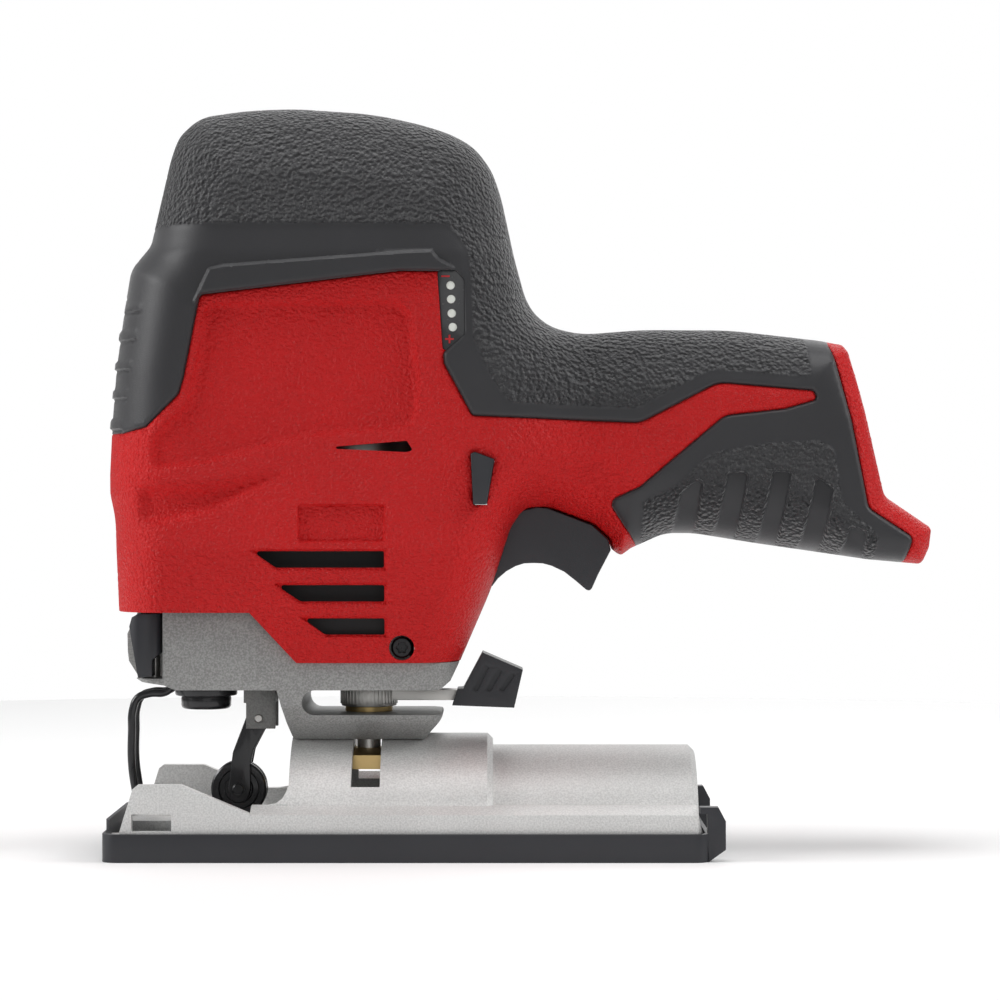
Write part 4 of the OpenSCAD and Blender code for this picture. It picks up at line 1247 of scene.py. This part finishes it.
@dataclass
class BladeSupport:
    """Blade clamp, guide roller, its cranked arm and bracket."""

    plunger_x: float = -52.5
    roller: tuple[float, float] = (-44.0, 15.4)
    pivot: tuple[float, float] = (-38.7, 33.5)
    collar: Points = ((4, 35.7), (5.6, 35.7), (6.1, 36), (6.35, 36.5), (6.35, 38.3), (6.2, 39), (4, 39))
    flange: Points = ((4, 39), (7.3, 39), (7.75, 39.15), (7.9, 39.5), (7.9, 40.6), (7.6, 41), (6, 41),
                      (6, 43), (4, 43))
    tread: Points = ((1.55, 3), (1.55, -3), (3.4, -3), (3.7, -2.4), (4.9, -2.3), (5.2, -2.9), (6.6, -3),
                     (7.06, -2.6), (7.06, -1), (5.5, -0.8), (5.5, 0.8), (7.06, 1), (7.06, 2.6), (6.6, 3),
                     (5.2, 2.9), (4.9, 2.3), (3.7, 2.4), (3.4, 3))
    arm_line: Points = (
        (-41.3, 35.6, 1), (-36.8, 35.6, 1), (-36.9, 31.5, 1), (-40.2, 25.2, 2), (-40.9, 21.5, 2),
        (-40.8, 15.6, 3), (-41.6, 12.5, 2.5), (-45.4, 12.1, 2.5), (-46.6, 15.2, 2), (-45.4, 24.8, 2))
    bridge_line: Points = ((-41, 34), (-37.6, 34), (-40.2, 29.4), (-42.2, 26.6), (-43.2, 26.9))

    def build(self) -> list[Object]:
        """Makes the blade end.

        Returns:
            The collar, clamp, roller, arm, bracket and pins.
        """
        along, across = (0, 0, 1), (0, 1, 0)
        plunger, axle = (self.plunger_x, 0, 0), (self.roller[0], 0, self.roller[1])
        collar = lathe("clamp_collar_piece", self.collar, plunger, along, ring=True)
        dress(collar, BLACK_STEEL, "plunger", "clamp_collar")
        flange = lathe("blade_clamp_piece", self.flange, plunger, along, ring=True)
        dress(flange, BLACK_STEEL, "plunger", "blade_clamp")
        roller = lathe("roller_piece", self.tread, axle, across, ring=True)
        dress(roller, BLACK_STEEL, "roller", "roller")
        axle_pin = lathe("roller_pin_piece", self._pin(1.5, 5.2), axle, across, 32)
        dress(axle_pin, BLACK_STEEL, "roller_arm", "roller_pin")
        plates = [prism("plate", smooth_outline(self.arm_line), y0, y1, 0.3)
                  for y0, y1 in ((-4.4, -3.2), (3.2, 4.4))]
        bridge = prism("bridge", smooth_outline(self.bridge_line), -3.3, 3.3, 0.2)
        arm = join(plates + [bridge], "roller_arm_piece")
        dress(arm, BLACK_STEEL, "roller_arm", "roller_arm")
        bracket = refined("roller_bracket", CAST_DARK, 0.5, 3)
        arm_pin = lathe("arm_pin_piece", self._pin(1.1, 6.2), (self.pivot[0], 0, self.pivot[1]), across, 32)
        dress(arm_pin, STEEL, "root", "arm_pin")
        return [collar, flange, roller, axle_pin, arm, bracket, arm_pin]

    @staticmethod
    def _pin(radius: float, half_l: float, chamfer: float = 0.3) -> Points:
        """Profile of a pin with chamfered ends."""
        return [(0, -half_l), (radius - chamfer, -half_l), (radius, chamfer - half_l),
                (radius, half_l - chamfer), (radius - chamfer, half_l), (0, half_l)]


@dataclass
class Shoe:
    """Cast shoe, its sole cover and the clamp that holds the tilt."""

    bolt_x: float = -11.0
    knob_line: Points = ((18, 50.2), (28.2, 45.8), (26, 36.2), (10.3, 36.8), (11.6, 40.9), (13.1, 41))

    def build(self) -> list[Object]:
        """Makes the shoe's visible pieces.

        Returns:
            The shoe, its cover and the pieces of the lever.
        """
        return [refined("shoe", SHOE_SILVER, 0.5, 4, 25), refined("shoe_cover", BLACK, 0.5, 3),
                refined("clamp_lever", STEEL, 0.25, 3), self._knob(), self._knurl()]

    def _knob(self) -> Object:
        """Moulds the lever's knob with its three slanted grooves on each side.

        Returns:
            The knob.
        """
        knob = prism("lever_knob_piece", self.knob_line, -6, 6, 0)
        cuts = [block("cut", (9, -4.05, 37.95), (19.1, 4.05, 40.65), 0)]
        for y0, y1 in ((-8, -5.2), (5.2, 8)):
            for x in (16.9, 20.2, 23.5):
                rise = 46.6 - (x - 16.9) * 0.3
                groove = smooth_outline([(x - 1.5, 40.6, 0.65), (x - 0.2, 40.2, 0.65), (x + 2.9, rise, 0.65),
                                         (x + 1.7, rise + 0.5, 0.65)], step=0.4)
                cuts.append(prism("cut", groove, y0, y1, 0))
        for cut in cuts:
            carve(knob, cut)
        round_edges(knob, 0.5, 3, 25)
        shade(knob.data, 38)
        return dress(knob, BLACK, "clamp_lever", "lever_knob")

    def _knurl(self) -> Object:
        """Makes the ridges round the hub of the clamp lever.

        Returns:
            The ridges as one piece.
        """
        ridge = block("ridge", (-0.25, -0.3, 37.0), (0.3, 0.3, 40.8), 0.12)
        ring = RingRepeat().make("hub_knurl", ridge, 44, 7.0, (self.bolt_x, 0, 0), STEEL)
        return dress(ring, STEEL, "clamp_lever")


# ---- stage

@dataclass
class Studio:
    """Floor, lights and camera."""

    distance: float = 0.8
    lens: float = 112.9
    eye: tuple[float, float] = (0.0224, 0.0888)
    floor_r: float = 0.62
    sky: float = 0.2

    def build(self) -> None:
        """Makes the studio."""
        cam = bpy.data.cameras.new("camera")
        cam.lens = self.lens
        cam.sensor_width = 36
        cam.clip_start = 0.01
        obj = link(bpy.data.objects.new("camera", cam))
        obj.location = (self.eye[0], -self.distance, self.eye[1])
        obj.rotation_euler = (math.pi / 2, 0, 0)
        bpy.context.scene.camera = obj
        self._floor()
        self._light("left", (-0.95, -0.15, 0.5), 0.45, 6.5)
        self._light("right", (0.95, -0.12, 0.7), 0.45, 6.0)
        self._light("top", (0.0, -0.05, 1.0), 0.5, 4.2)
        self._light("front", (0.1, -1.0, 0.35), 0.6, 0.9)
        self._light("back", (0.2, 1.0, 0.6), 0.9, 4.0)
        self._sky()
        bpy.context.scene.view_settings.view_transform = "Standard"

    def _sky(self) -> None:
        """White surroundings that light the tool less than they show."""
        world = bpy.data.worlds.new("studio")
        world.use_nodes = True
        graph = Graph(world.node_tree)
        path = graph.add("ShaderNodeLightPath")
        strength = graph.add("ShaderNodeMapRange", {"To Min": self.sky, "To Max": 1.0,
                                                    "Value": path.outputs["Is Camera Ray"]})
        graph.fill(world.node_tree.nodes["Background"], {"Color": (1, 1, 1, 1),
                                                         "Strength": strength.outputs["Result"]})
        bpy.context.scene.world = world

    def _floor(self) -> None:
        """A pale round floor."""
        mesh = bpy.data.meshes.new("floor")
        n, r = 96, self.floor_r
        turn = np.arange(n) * 2 * math.pi / n
        mesh.from_pydata([(r * math.cos(t), r * math.sin(t), 0) for t in turn], [], [tuple(range(n))])
        floor = link(bpy.data.objects.new("floor", mesh))
        mat = bpy.data.materials.new("pale_floor")
        mat.use_nodes = True
        Graph(mat.node_tree).fill(mat.node_tree.nodes["Principled BSDF"],
                                  {"Base Color": (0.93, 0.93, 0.93, 1), "Roughness": 0.9})
        mesh.materials.append(mat)

    @staticmethod
    def _light(name: str, at: Point, size: float, power: float) -> None:
        """A soft square light that faces the tool.

        Args:
            name: Name of the light.
            at: Its place in metres.
            size: Its side in metres.
            power: Its power in watts.
        """
        data = bpy.data.lights.new(name, "AREA")
        data.size = size
        data.energy = power
        obj = link(bpy.data.objects.new(name, data))
        obj.location = at
        aim = Vector((0.02, 0, 0.09)) - Vector(at)
        obj.rotation_euler = aim.to_track_quat("-Z", "Y").to_euler()


def dress_cad_nodes() -> None:
    """Gives every CAD node the finish of its slot, then paints shade on the air shroud and the parts seen
    through the vents.
    """
    for name, obj in frame["nodes"].items():
        mat = SLOT_FINISH[NODE_SLOT[name]].build()
        obj.data.materials.clear()
        obj.data.materials.append(mat)
    # Painted shade: the shroud and the parts behind the vents get a darker plastic than their own, so the
    # vent openings read as shade.
    for name in ("air_shroud", "switch_module", "motor_endbell", "terminal_block"):
        frame["nodes"][name].data.materials[0] = PAINTED_VENT_SHADE.build()


def main() -> None:
    """Builds the jigsaw."""
    logging.basicConfig(level=logging.INFO, format="%(message)s")
    Studio().build()
    dress_cad_nodes()
    halves = [ShellSide(side) for side in Side]
    for part in (*halves, Gauge(), Controls(), Gearcase(), HousingScrews(), BladeSupport(), Shoe()):
        for piece in part.build():
            log.info("%s: %d faces", piece.name, len(piece.data.polygons))


if __name__ == "__main__":
    main()
